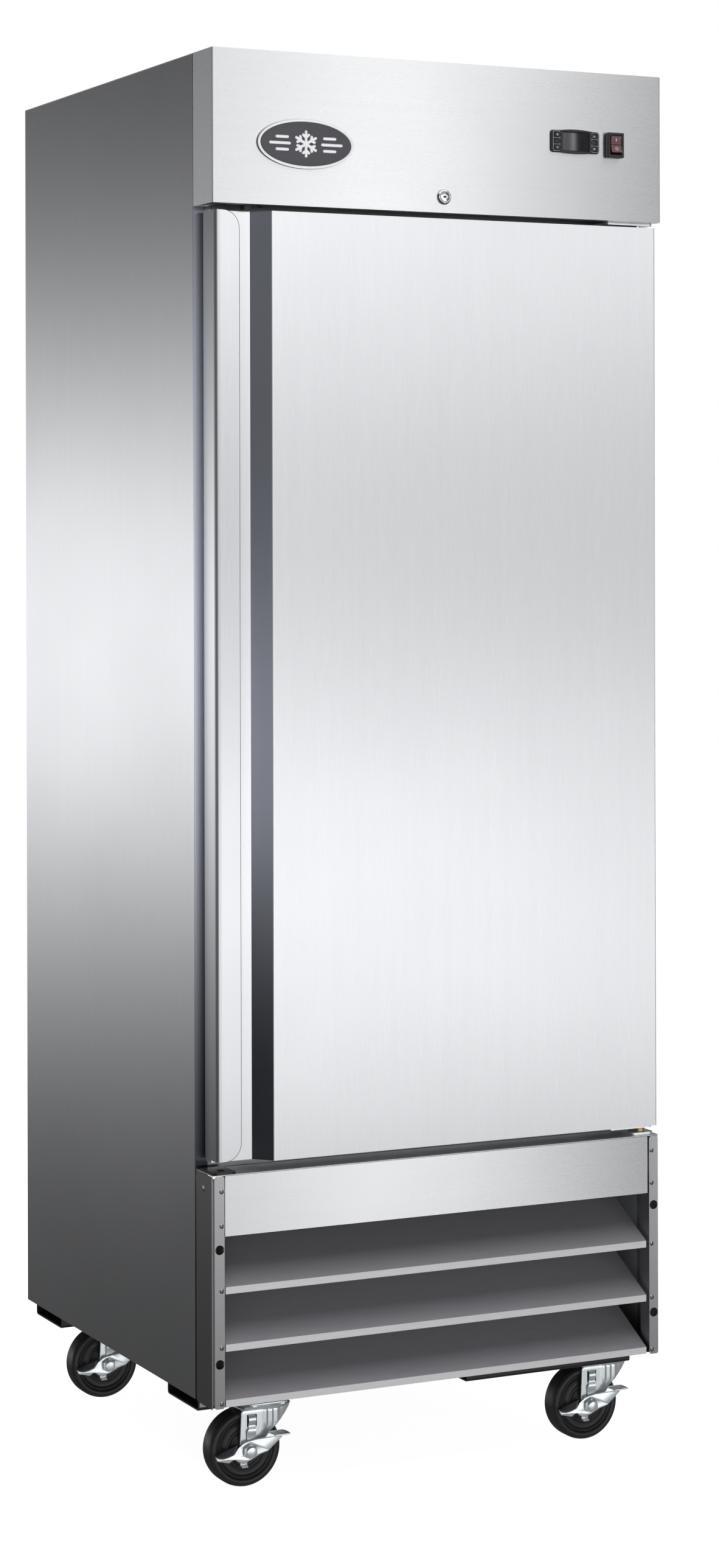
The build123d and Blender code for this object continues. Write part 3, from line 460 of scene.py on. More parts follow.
def make_world():
    """A dim studio that the brushed sheets mirror as soft gradients. The camera itself sees plain white."""
    world = bpy.data.worlds.new("studio")
    bpy.context.scene.world = world
    world.use_nodes = True
    tree = world.node_tree
    tree.nodes.clear()
    level = studio_level(tree.nodes.new("ShaderNodeTexCoord").outputs["Generated"])
    tint = tree.nodes.new("ShaderNodeCombineColor")
    for channel, gain in WORLD_TINT.items():
        feed(tint.inputs[channel], level * gain)
    lit = tree.nodes.new("ShaderNodeBackground")
    tree.links.new(tint.outputs[0], lit.inputs["Color"])
    white = tree.nodes.new("ShaderNodeBackground")
    white.inputs["Color"].default_value = (1, 1, 1, 1)
    path = tree.nodes.new("ShaderNodeLightPath")
    mix = tree.nodes.new("ShaderNodeMixShader")
    output = tree.nodes.new("ShaderNodeOutputWorld")
    for source, socket in ((path.outputs["Is Camera Ray"], mix.inputs[0]), (lit.outputs[0], mix.inputs[1]),
                           (white.outputs[0], mix.inputs[2]), (mix.outputs[0], output.inputs["Surface"])):
        tree.links.new(source, socket)


def make_overhead_light():
    """A large soft light above, which the camera doesn't see."""
    data = bpy.data.lights.new("overhead", "AREA")
    data.shape = "SQUARE"
    data.size = 6.0
    data.energy = 150
    light = bpy.data.objects.new("overhead", data)
    light.location = (0.0, -0.6, 4.6)
    light.rotation_euler = (-light.location).to_track_quat("-Z", "Y").to_euler()
    light.visible_camera = False
    bpy.context.scene.collection.objects.link(light)


def make_floor():
    """A round pale floor, not mirrored by the sheets, so that they show the studio and not its edge."""
    mesh = bpy.data.meshes.new("floor")
    shape = bmesh.new()
    bmesh.ops.create_circle(shape, cap_ends=True, segments=96, radius=14.0)
    shape.to_mesh(mesh)
    shape.free()
    floor = bpy.data.objects.new("floor", mesh)
    bpy.context.scene.collection.objects.link(floor)
    floor.visible_glossy = False
    paint, _, shader = new_material()
    paint.name = "floor_paint"
    cover(shader, (0.7, 0.7, 0.7), 0.9)
    feed(shader.inputs["Emission Color"], (1, 1, 1))
    shader.inputs["Emission Strength"].default_value = 0.95
    mesh.materials.append(paint)


# ---------- mesh tools

def corners(*nodes):
    """Lowest and highest corner of CAD nodes at rest, in millimetres."""
    boxes = [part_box(node) for node in nodes]
    low = [min(box[0][axis] for box in boxes) / MM for axis in range(3)]
    high = [max(box[1][axis] for box in boxes) / MM for axis in range(3)]
    return low, high


def middle(node):
    low, high = corners(node)
    return [(a + b) / 2 for a, b in zip(low, high)]


def body_of_node(node):
    """The body that a CAD node rides on."""
    return next(name for name, body in frame["bodies"].items() if NODES[node].parent == body)


def moved(x, y, z):
    """A mapping of points that shifts them."""
    return lambda px, py, pz: (x + px, y + py, z + pz)


def smooth(value, low, high):
    """0 below low, 1 above high, eased between them."""
    t = min(1.0, max(0.0, (value - low) / (high - low)))
    return t * t * (3 - 2 * t)


def spaced(first, last, steps):
    """Evenly spaced numbers, both ends included."""
    return [first + (last - first) * k / steps for k in range(steps + 1)]


def along(value, stations):
    """Straight interpolation through (place, value) stations."""
    if value <= stations[0][0]:
        return stations[0][1]
    for (x0, y0), (x1, y1) in zip(stations, stations[1:]):
        if value <= x1:
            return y0 + (y1 - y0) * (value - x0) / (x1 - x0)
    return stations[-1][1]


def rounded(points, radius, steps=5):
    """A closed outline with its corners rounded; radius is one number or one for each corner."""
    radii = radius if isinstance(radius, (list, tuple)) else [radius] * len(points)
    outline = []
    for index, corner in enumerate(points):
        here = Vector(corner)
        back = Vector(points[index - 1]) - here
        ahead = Vector(points[(index + 1) % len(points)]) - here
        half = back.angle(ahead) / 2
        cut = min(radii[index] / math.tan(half), 0.48 * back.length, 0.48 * ahead.length)
        start, end = here + back.normalized() * cut, here + ahead.normalized() * cut
        for step in range(steps + 1):
            t = step / steps
            outline.append(tuple(start * (1 - t) ** 2 + here * 2 * t * (1 - t) + end * t ** 2))
    return outline


def rectangle(width, height, x=0.0, z=0.0):
    return [(x - width / 2, z - height / 2), (x + width / 2, z - height / 2),
            (x + width / 2, z + height / 2), (x - width / 2, z + height / 2)]


def panel(width, height, radius, x=0.0, z=0.0, steps=5):
    """A rectangle with round corners."""
    return rounded(rectangle(width, height, x, z), radius, steps)


def ring_points(radius, sides, x=0.0, z=0.0, turn=0.0):
    return [(x + radius * math.cos(turn + 2 * math.pi * k / sides),
             z + radius * math.sin(turn + 2 * math.pi * k / sides)) for k in range(sides)]


def curve_at(points, t):
    """The point a share t along a short list of evenly counted points."""
    place = t * (len(points) - 1)
    index = min(int(place), len(points) - 2)
    part = place - index
    return tuple(a + (b - a) * part for a, b in zip(points[index], points[index + 1]))


def quads(rows, width, around=False, closed=False):
    """Faces between rows of points. Each row may close on itself, and the last row on the first."""
    faces = []
    for row in range(rows if closed else rows - 1):
        here, above = row * width, (row + 1) % rows * width
        for k in range(width if around else width - 1):
            after = (k + 1) % width
            faces.append((here + k, here + after, above + after, above + k))
    return faces


def closed_sheet(top, shift):
    """Points and faces of a sheet between a grid of points and the same grid shifted."""
    rows, width = len(top), len(top[0])
    points = [point for row in top for point in row]
    points += [tuple(a + b for a, b in zip(point, shift)) for point in points]
    offset = rows * width
    faces = []
    for quad in quads(rows, width):
        faces += [quad, tuple(offset + index for index in reversed(quad))]
    last = (rows - 1) * width
    rim = (list(range(width)) + [row * width + width - 1 for row in range(1, rows)]
           + [last + k for k in range(width - 2, -1, -1)] + [row * width for row in range(rows - 2, 0, -1)])
    for index, start in enumerate(rim):
        end = rim[(index + 1) % len(rim)]
        faces.append((start, offset + start, offset + end, end))
    return points, faces


def bar(path, radius, sides=16):
    """Points and faces of a round bar with hemispherical ends along a path."""
    stations = []
    for index, point in enumerate(path):
        run = (path[min(index + 1, len(path) - 1)] - path[max(index - 1, 0)]).normalized()
        stations.append((point, run, radius))
    first, last = stations[0], stations[-1]
    caps = [(math.sin(math.radians(a)) * radius, math.cos(math.radians(a)) * radius) for a in (10, 35, 60)]
    stations = ([(first[0] - first[1] * out, first[1], size) for size, out in caps] + stations
                + [(last[0] + last[1] * out, last[1], size) for size, out in reversed(caps)])
    points = []
    for point, run, size in stations:
        side = run.orthogonal().normalized()
        up = run.cross(side)
        points += [point + (side * math.cos(a) + up * math.sin(a)) * size
                   for a in [2 * math.pi * k / sides for k in range(sides)]]
    faces = quads(len(stations), sides, around=True)
    faces.append(tuple(reversed(range(sides))))
    faces.append(tuple(range(len(points) - sides, len(points))))
    return points, faces


AXES = {"x": (Vector((0, 1, 0)), Vector((0, 0, 1)), Vector((1, 0, 0))),
        "y": (Vector((0, 0, 1)), Vector((1, 0, 0)), Vector((0, 1, 0))),
        "z": (Vector((1, 0, 0)), Vector((0, 1, 0)), Vector((0, 0, 1)))}


class Shape:
    """Points in millimetres and faces, each with a material number, gathered into one piece."""

    def __init__(self):
        self.points, self.faces, self.finishes = [], [], []

    def add(self, points, faces, finish=0):
        first = len(self.points)
        self.points += [tuple(point) for point in points]
        self.faces += [tuple(first + index for index in face) for face in faces]
        self.finishes += [finish] * len(faces)

    def lathe(self, profile, centre, axis="y", finish=0, segments=64, closed=False):
        """Turns (radius, along) points about an axis through centre."""
        side, up, forward = AXES[axis]
        centre = Vector(centre)
        points = []
        for radius, offset in profile:
            for k in range(segments):
                angle = 2 * math.pi * k / segments
                points.append(centre + forward * offset
                              + (side * math.cos(angle) + up * math.sin(angle)) * radius)
        self.add(points, quads(len(profile), segments, around=True, closed=closed), finish)

    def grid(self, rows, finish=0, close_rows=False):
        """Quads between rows of points."""
        self.add([point for row in rows for point in row], quads(len(rows), len(rows[0]), close_rows), finish)

    def plate(self, outlines, y0, y1, bevel=0.4, finish=0, place=None):
        """A plate facing the front, from closed XZ outlines of which the inner ones are holes. place maps
        each finished point to another one."""
        curve = bpy.data.curves.new("outline", "CURVE")
        curve.dimensions, curve.fill_mode = "2D", "BOTH"
        curve.extrude = max((y1 - y0) / 2 - bevel, 0.001)
        curve.bevel_depth, curve.bevel_resolution, curve.offset = bevel, 2, -bevel
        for outline in outlines:
            spline = curve.splines.new("POLY")
            spline.points.add(len(outline) - 1)
            for point, (x, z) in zip(spline.points, outline):
                point.co = (x, z, 0, 1)
            spline.use_cyclic_u = True
        holder = bpy.data.objects.new("outline", curve)
        bpy.context.scene.collection.objects.link(holder)
        bpy.context.view_layer.update()
        mesh = bpy.data.meshes.new_from_object(holder.evaluated_get(bpy.context.evaluated_depsgraph_get()))
        middle_y = (y0 + y1) / 2
        points = [(v.co.x, middle_y - v.co.z, v.co.y) for v in mesh.vertices]
        if place:
            points = [place(*point) for point in points]
        self.add(points, [tuple(face.vertices) for face in mesh.polygons], finish)
        bpy.data.objects.remove(holder)
        bpy.data.curves.remove(curve)
        bpy.data.meshes.remove(mesh)

    def strip(self, path, width_at, thickness, finish=0):
        """A bent strip: path is a list of (y, z), and width_at(z) gives its two X edges."""
        rows = []
        for index, (y, z) in enumerate(path):
            before, after = path[max(index - 1, 0)], path[min(index + 1, len(path) - 1)]
            run = Vector((after[0] - before[0], after[1] - before[1])).normalized()
            out = Vector((-run.y, run.x)) * thickness / 2
            x0, x1 = width_at(z)
            rows.append([(x0, y + out.x, z + out.y), (x1, y + out.x, z + out.y),
                         (x1, y - out.x, z - out.y), (x0, y - out.x, z - out.y)])
        self.grid(rows, finish, close_rows=True)
        self.add(rows[0], [(0, 1, 2, 3)], finish)
        self.add(rows[-1], [(3, 2, 1, 0)], finish)

    def piece(self, name, body, finishes, replaces=(), sharp=38.0):
        mesh = bpy.data.meshes.new(name)
        mesh.from_pydata([Vector(point) * MM for point in self.points], [], self.faces)
        for finish in finishes:
            mesh.materials.append(MATERIALS[finish])
        for face, finish in zip(mesh.polygons, self.finishes):
            face.material_index = finish
        shape = bmesh.new()
        shape.from_mesh(mesh)
        bmesh.ops.remove_doubles(shape, verts=shape.verts, dist=0.005 * MM)
        bmesh.ops.recalc_face_normals(shape, faces=shape.faces)
        shape.to_mesh(mesh)
        shape.free()
        mesh.polygons.foreach_set("use_smooth", [True] * len(mesh.polygons))
        mesh.set_sharp_from_angle(angle=math.radians(sharp))
        item = bpy.data.objects.new(name, mesh)
        bpy.context.scene.collection.objects.link(item)
        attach(item, body)
        if replaces:
            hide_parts(*replaces)
        return item


# ---------- casters

CORNERS = [f"{end}_{side}" for end in ("front", "rear") for side in ("left", "right")]
TRAIL = 30.0                       # the axle stands this far behind the swivel
# Half of the wheel's section: radius and distance from its middle
WHEEL_FACE = [
    (5.2, 19.0), (8.6, 19.0), (10.2, 18.5), (11.2, 17.2), (12.0, 15.6), (13.5, 14.6), (24.2, 13.4),
    (25.4, 13.6), (26.2, 14.6), (27.0, 15.0), (28.6, 15.0), (29.4, 14.5), (30.0, 13.5), (31.2, 13.1),
    (38.0, 13.0), (39.0, 13.3), (39.8, 14.9), (40.6, 15.5), (41.4, 15.2), (42.0, 13.6), (43.2, 13.3),
    (44.2, 13.9), (45.0, 16.2), (46.2, 17.2), (48.4, 17.6), (50.8, 17.4), (52.8, 16.4), (54.3, 14.6),
    (54.8, 13.8), (55.2, 13.6), (55.5, 12.4), (55.9, 10.0), (56.0, 6.0),
]


def make_wheel(corner):
    """Hard rubber wheel: rounded shoulders with a mould line, a grooved ring, an inner ring and the hub."""
    wheel = Shape()
    profile = [(radius, -offset) for radius, offset in WHEEL_FACE]
    profile += [(radius, offset) for radius, offset in reversed(WHEEL_FACE)]
    wheel.lathe(profile, middle(f"wheel_{corner}"), "y", segments=128, closed=True)
    wheel.piece(f"tyre_{corner}", f"roller_{corner}", ["tyre"], [f"wheel_{corner}"], sharp=50)


# Edges of a fork leg: height and distance from the swivel axis
LEG_RIGHT = [
    (56, -17.0), (62, -12.0), (70, -3.5), (77, 3.5), (83, 10.5), (94, 22.5), (104, 31.5), (110, 36.5),
]
LEG_LEFT = [(56, -42.0), (110, -39.5)]
CROWN_RADIUS, CROWN_BEND, LEG_TOP, FORK_HALF = 44.0, 7.0, 110.0, 22.5


def leg_edges(z):
    """Left and right edge of a fork leg at a height, from the swivel axis."""
    if z >= 56:
        return along(z, LEG_LEFT), along(z, LEG_RIGHT)
    share = (1 - ((56 - z) / 14.01) ** 2.6) ** (1 / 2.6)
    return -TRAIL - 12.0 * share, -TRAIL + 13.0 * share


def leg_swell(dx, z):
    """How far the pressing stands out: two upright flutes, and a rolled right hand edge."""
    flutes = sum(math.exp(-((dx - place) / 2.6) ** 2) for place in (-1.0, 8.0, 16.5))
    return 1.7 * flutes * smooth(z, 80, 92) - 0.011 * max(0.0, dx - 19.0) ** 2


def make_fork(corner):
    """The pressed fork with its axle bolt and nut, the brake's spring leaf, and a dark patch of painted shade
    on the leg behind the leaf's top.
    """
    axle_x, y, axle_z = middle(f"wheel_{corner}")
    swivel = axle_x + TRAIL
    across = 40
    heights = [42.05 + 0.25 * k * k for k in range(7)] + [54 + 2 * k for k in range(29)]
    turns = [math.radians(15 * k) for k in range(1, 7)]
    crown = [(-FORK_HALF + CROWN_BEND * (1 - math.cos(turn)), turn) for turn in turns] + [(0.0, math.pi / 2)]
    front = []
    for z in heights:
        front.append([(dx, -FORK_HALF - leg_swell(dx, z), z) for dx in spaced(*leg_edges(z), across)])
    for dy, turn in crown:
        reach = math.sqrt(CROWN_RADIUS ** 2 - dy ** 2)
        kept, rise = math.cos(turn) ** 2, CROWN_BEND * math.sin(turn)
        front.append([(dx, dy - leg_swell(dx, LEG_TOP) * kept, LEG_TOP + rise)
                      for dx in spaced(-reach, reach, across)])
    back = [[(dx, -dy, z) for dx, dy, z in row] for row in reversed(front[:-1])]
    fork = Shape()
    fork.grid([[(swivel + dx, y + dy, z) for dx, dy, z in row] for row in front + back])
    body = fork.piece(f"fork_sheet_{corner}", f"swivel_{corner}", ["zinc"], [f"fork_{corner}"])
    wall = body.modifiers.new("sheet", "SOLIDIFY")
    wall.thickness, wall.offset = 2.4 * MM, -1.0

    trim = Shape()
    head = [(0, -40.4), (6.4, -40.4), (7.8, -40.0), (8.6, -39.0), (8.8, -37.6), (8.8, -34.6), (0, -34.6)]
    trim.lathe(head, (axle_x, y, axle_z), "y")
    collar = ring_points(10.6, 6, axle_x, axle_z, math.radians(30))
    trim.plate([collar], y - 35.0, y - 22.5, 0.7)
    nut = [ring_points(8.6, 6, axle_x, axle_z), ring_points(4.6, 24, axle_x, axle_z)]
    trim.plate(nut, y + 22.6, y + 29.0, 0.6)
    bolt = [(0, 18), (4.6, 18), (4.6, 30.5), (3.6, 31.2), (0, 31.2)]
    trim.lathe(bolt, (axle_x, y, axle_z), "y", segments=32)
    leaf = [(-21.4, 107), (-23.4, 105.6), (-25.6, 102.6), (-26.4, 99.4), (-26.0, 96.4), (-24.6, 93.6),
            (-23.9, 91.2), (-24.4, 88.6), (-25.8, 86.0), (-26.3, 83.2), (-25.8, 80.0), (-25.2, 76.0),
            (-25.0, 70.0), (-25.4, 64.0), (-26.2, 60.0)]
    trim.strip([(y + dy, z) for dy, z in leaf],
               lambda z: (swivel + along(z, [(84, -31.5), (86, -29.0)]), swivel - 18.0), 1.1)
    # Painted shade: a black patch on the leg, behind the leaf's curled top, stands for the shade between leaf
    # and leg.
    trim.plate([panel(15.5, 17.5, 1.0, swivel - 23.0, 97.5)], y - 23.0, y - 22.4, 0.1, finish=1)
    trim.piece(f"axle_and_leaf_{corner}", f"swivel_{corner}", ["zinc", "black_paint"])


# The brake plate's outline and corner radii, and the pad's two long edges, from the axle
BRAKE_PLATE = [
    (-54, -2.5), (-51, -9.5), (-32, -14), (-24, -9), (-18, -14), (-10, -18), (3, -13), (17, -6), (28, -2),
    (50, 16), (52, 26), (30, 26), (24, 18.5), (9, 15.5), (-4, 13.5), (-10, 11.5), (-18, 6), (-24, -2.5),
    (-33, -5.8), (-42, -7.2), (-49, -6),
]
BRAKE_CORNERS = [2, 2.5, 2.5, 5, 3, 4, 12, 10, 8, 3, 0.5, 3, 6, 8, 4, 4, 8, 4, 8, 8, 3]
PAD_NEAR = [(-54, -2.6), (-49, -5.8), (-42, -7.0), (-33, -5.6), (-24, -2.4)]
PAD_FAR = [(-51, -3.4), (-43.5, -1.2), (-34.5, 2.0), (-25, 5.2), (-15.5, 7.8)]


def make_brake(corner):
    """The brake rocker: a joggled plate with a hexagonal window, a black pad folded back from its left arm
    and a zinc pedal at its right."""
    x, y, z = middle(f"wheel_{corner}")
    place = moved(x, y, z)

    def joggled(px, py, pz):
        return place(px, py - 4.0 * smooth(px, 12.5, 24.5), pz)

    brake = Shape()
    window = ring_points(11.8, 6, 0, 0, math.radians(30))
    brake.plate([rounded(BRAKE_PLATE, BRAKE_CORNERS), window], -30.6, -28.2, 0.5, place=joggled)
    brake.plate([panel(11, 9, 1.2, -8, -17)], -27.9, -26.4, 0.3, place=place)
    foot = [(0, 0), (-3.5, -0.6), (-5.0, -2.4)]
    brake.strip([(y - 27.2 + dy, z - 20.6 + dz) for dy, dz in foot], lambda _: (x - 13, x - 3), 1.4)

    def on_pad(s, t, dy, dz):
        near, far = curve_at(PAD_NEAR, t), curve_at(PAD_FAR, t)
        return place(near[0] + (far[0] - near[0]) * s, -30.4 + 7.8 * s + dy,
                     near[1] + (far[1] - near[1]) * s + dz)

    for lift, margin, finish in ((0.0, 0.0, 0), (0.9, 0.07, 1)):
        top = [[on_pad(s, t, 1.2 * lift * (s - 1), lift) for t in spaced(margin, 1 - margin, 16)]
               for s in spaced(margin, 1 - margin, 8)]
        brake.add(*closed_sheet(top, (0, 0.4, -1.5)), finish)
    for t in spaced(0.24, 0.75, 3):
        ridge = [Vector(on_pad(s, t, 0.0, 1.0)) for s in (0.25, 0.5, 0.75)]
        brake.add(*bar(ridge, 0.7), 1)

    marks = (0.0, 0.12, 0.3, 0.5, 0.7, 0.88, 1.0)
    pedal = [[place(28.5 + 24.5 * t + s * (7 - 1.5 * t), -33.2 - 12.0 * s, 25.4 - 2.6 * s * s) for t in marks]
             for s in marks]
    brake.add(*closed_sheet(pedal, (0, 0, -2.2)))
    brake.piece(f"brake_rocker_{corner}", f"pedal_{corner}", ["zinc", "pad_rubber"],
                [f"brake_{corner}"])


def make_caster_plates():
    """Bolted top plates with their hexagon bolt heads and turned ball races."""
    plates = Shape()
    top = corners("caster_plates")[1][2]
    for corner in CORNERS:
        axle_x, y, _ = middle(f"wheel_{corner}")
        x = axle_x + TRAIL
        outline = rounded([(-30, -35), (30, -35), (30, 35), (-30, 35)], 6)

        def flat(px, py, pz, x=x, y=y):
            return x + px, y + pz, top - 1.5 + py

        def hanging(px, py, pz, x=x, y=y):
            return x + px, y + pz, top - 1.5 - py

        plates.plate([outline], -1.5, 1.5, 0.5, place=flat)
        race = [(0, -3.0), (22.5, -3.0), (24.0, -3.4), (24.6, -4.4), (24.4, -5.4), (23.4, -6.0), (21.0, -6.2),
                (20.0, -6.6), (0, -6.6)]
        plates.lathe(race, (x, y, top), "z", segments=72)
        for dx in (-22, 22):
            for dy in (-27, 27):
                plates.plate([ring_points(6.0, 6, dx, dy)], 1.6, 4.6, 0.5, place=hanging)
    plates.piece("caster_top_plates", "cabinet", ["zinc"], ["caster_plates"])


for corner in CORNERS:
    make_wheel(corner)
    make_fork(corner)
    make_brake(corner)
make_caster_plates()


# ---------- header fittings

_, HEADER_FRONT, HEADER_UNDER = corners("header_panel")[0]
PLASTIC = ["black_plastic", "print"]


def ellipse_rings(shape, centre, half_width, half_height, profile, finish=0, segments=120):
    """Rings of an oval plate facing the front: profile holds (inset, stand-off) pairs."""
    x, y, z = centre
    rows = []
    for inset, stand in profile:
        wide, high = half_width - inset, half_height - inset
        rows.append([(x + wide * px, y - stand, z + high * pz) for px, pz in ring_points(1.0, segments)])
    shape.grid(rows, finish, close_rows=True)


def make_badge():
    """An oval enamel plate with a raised pale rim and a frost star between two groups of bars."""
    low, high = corners("badge")
    x, _, z = middle("badge")
    half_width, half_height = (high[0] - low[0]) / 2, (high[2] - low[2]) / 2
    plate = Shape()
    edge = [(0, 0), (0.1, 1.6), (0.3, 2.6)]
    rim = [(0.3, 2.6), (0.6, 3.8), (1.5, 4.7), (2.4, 4.9), (3.3, 4.6), (3.9, 3.9), (4.2, 3.0)]
    field = [(4.2, 3.0), (4.5, 2.5), (6, 2.4), (10, 2.5), (16, 2.6)]
    for profile, finish in ((edge, 1), (rim, 0), (field, 2)):
        ellipse_rings(plate, (x, HEADER_FRONT, z), half_width, half_height, profile, finish)
    inset, stand = field[-1]
    inner = [(x + px * (half_width - inset), HEADER_FRONT - stand, z + pz * (half_height - inset))
             for px, pz in ring_points(1.0, 120)]
    plate.add(inner, [tuple(range(120))], 2)
    strokes = []
    for arm in range(6):
        angle = math.radians(60 * arm + 30)
        out = Vector((math.cos(angle), 0, math.sin(angle)))
        strokes.append([out * 1.0, out * 17.5])
        for turn in (-52, 52):
            turned = angle + math.radians(turn)
            strokes.append([out * 9.5, out * 9.5 + Vector((math.cos(turned), 0, math.sin(turned))) * 5.6])
    for side in (-1, 1):
        for level, near, far in ((9.0, 29, 46), (0.0, 26, 56), (-9.0, 29, 46)):
            strokes.append([Vector((side * near, 0, level)), Vector((side * far, 0, level))])
    place = Vector((x, HEADER_FRONT - 2.7, z))
    for start, end in strokes:
        plate.add(*bar([place + start, place + start.lerp(end, 0.5), place + end], 2.1), 0)
    finishes = ["white_enamel", "dark_steel", "charcoal_enamel"]
    plate.piece("oval_badge", "cabinet", finishes, ["badge"])


def make_controller():
    """The temperature controller's bezel with its hood, window rim and glass, and its six framed keys."""
    x, _, z = middle("controller_display")
    place = moved(x, HEADER_FRONT, z)
    keys = {name: middle(name) for name in NODES if name.startswith("key_")}
    key_low, key_high = corners("key_left_top")
    key_size = (key_high[0] - key_low[0] + 0.7, key_high[2] - key_low[2] + 0.7)
    holes = [panel(*key_size, 2.2, at[0] - x, at[2] - z, 4) for at in keys.values()]
    bezel = Shape()
    width, height, window_width, window_height = 82.0, 33.0, 46.2, 28.4
    window = panel(window_width, window_height, 1.6)
    bezel.plate([panel(width, height, 4.5, steps=8)], -2.6, 0, 0.8, place=place)
    raised = panel(width - 1.4, height - 1.4, 4.5, steps=8)
    bezel.plate([raised, window] + holes, -4.7, -2.2, 0.8, place=place)
    steps = spaced(-1, 1, 16)
    reach, edge = 26.6, height / 2 - 0.2
    hood = [(reach * t, -edge - 1.4 * (1 - t * t)) for t in steps]
    hood += [(-reach * t, edge + 1.8 * (1 - t * t)) for t in steps]
    bezel.plate([hood, window], -5.5, -0.6, 0.7, place=place)
    bezel.plate([panel(70, 28, 1)], 0, 52, 0.6, place=place)
    for column in (-33.0, 33.0):
        outline = [panel(11.6, 29.6, 2.6, column), panel(11.1, 29.1, 2.4, column)]
        bezel.plate(outline, -4.78, -4.6, 0.03, finish=1, place=place)
        for level in (-4.8, 4.8):
            bezel.plate([rectangle(11.2, 0.25, column, level)], -4.78, -4.6, 0.02, finish=1, place=place)
    bezel.piece("controller_bezel", "cabinet", PLASTIC, ["controller_case"])

    glass = Shape()
    glass.plate([panel(window_width - 0.6, window_height - 0.6, 1.4)], -4.6, -3.4, 0.3, place=place)
    glass.piece("controller_glass", "cabinet", ["display_glass"], ["controller_display"])

    for name, at in keys.items():
        key = Shape()
        low, high = corners(name)
        px, pz = at[0], at[2]
        face = low[1] + 0.9
        key.plate([panel(high[0] - low[0], high[2] - low[2], 2.2, px, pz)], face, high[1], 0.5)
        for icon in key_icon(name, px, pz):
            key.plate(icon, face - 0.12, face + 0.1, 0.03, finish=1)
        key.piece(name.replace("key_", "button_"), body_of_node(name), PLASTIC, [name])


def key_icon(name, x, z):
    """Outlines of the mark on a key: a crystal, a ring, arrows, or none on the middle keys."""
    if name == "key_left_top":
        marks = []
        for turn in (math.radians(30), math.radians(90), math.radians(150)):
            c, s = math.cos(turn), math.sin(turn)
            marks.append([[(x + px * c - pz * s, z + px * s + pz * c) for px, pz in rectangle(3.6, 0.4)]])
        return marks + [[ring_points(1.15, 18, x, z), ring_points(0.85, 18, x, z)]]
    if name == "key_left_bottom":
        return [[ring_points(1.5, 24, x, z), ring_points(1.1, 24, x, z)]]
    if name.startswith("key_right") and not name.endswith("middle"):
        way = 1 if name.endswith("top") else -1
        outer = [(x - 2.1, z - 1.3 * way), (x + 2.1, z - 1.3 * way), (x, z + 1.7 * way)]
        inner = [(x - 1.2, z - 0.85 * way), (x + 1.2, z - 0.85 * way), (x, z + 0.95 * way)]
        return [[outer, inner]]
    return []


def make_switch():
    """The power switch: a deep bevelled frame, and a two-facet rocker marked I and O."""
    x, _, z = middle("switch_bezel")
    place = moved(x, HEADER_FRONT, z)
    bezel = Shape()
    bezel.plate([panel(27, 37.5, 1.8), panel(20.5, 29.5, 1.0)], -9.0, 0, 0.9, place=place)
    bezel.plate([panel(21.6, 29.6, 1.0), panel(19.0, 27.6, 0.6)], -7.6, 26, 0.3, place=place)
    bezel.piece("switch_frame", "cabinet", ["black_plastic"], ["switch_bezel"])

    rocker = Shape()
    tilt = math.radians(-7)
    half, reach, pivot_y = 9.0, 12.2, HEADER_FRONT - 1.0

    def tilted(depth, height):
        return (math.cos(tilt) * depth - math.sin(tilt) * height,
                math.sin(tilt) * depth + math.cos(tilt) * height)

    def face(height):
        return -7.4 - 2.6 * abs(height / reach) ** 1.25

    turned = [tilted(face(height), height) for height in spaced(-reach, reach, 24)]
    turned += [tilted(0.5, reach), tilted(0.5, -reach)]
    rows = []
    for px, inset in ((-half, 0.5), (-half + 0.5, 0.0), (half - 0.5, 0.0), (half, 0.5)):
        rows.append([(x + px, pivot_y + py + inset, z + pz) for py, pz in turned])
    rocker.grid(rows, close_rows=True)
    count = len(turned)
    rocker.add(rows[0], [tuple(range(count))])
    rocker.add(rows[-1], [tuple(reversed(range(count)))])

    def on_face(px, py, pz):
        dy, dz = tilted(face(pz) + py, pz)
        return x + px, pivot_y + dy, z + dz

    rocker.plate([panel(1.1, 4.6, 0.4, 0, 6.6)], -0.2, 0.4, 0.05, finish=1, place=on_face)
    rocker.plate([ring_points(2.4, 24, 0, -6.6), ring_points(1.7, 24, 0, -6.6)], -0.2, 0.4, 0.05, finish=1,
                 place=on_face)
    rocker.piece("rocker_cap", "rocker", ["ruby", "print"], ["power_rocker"])


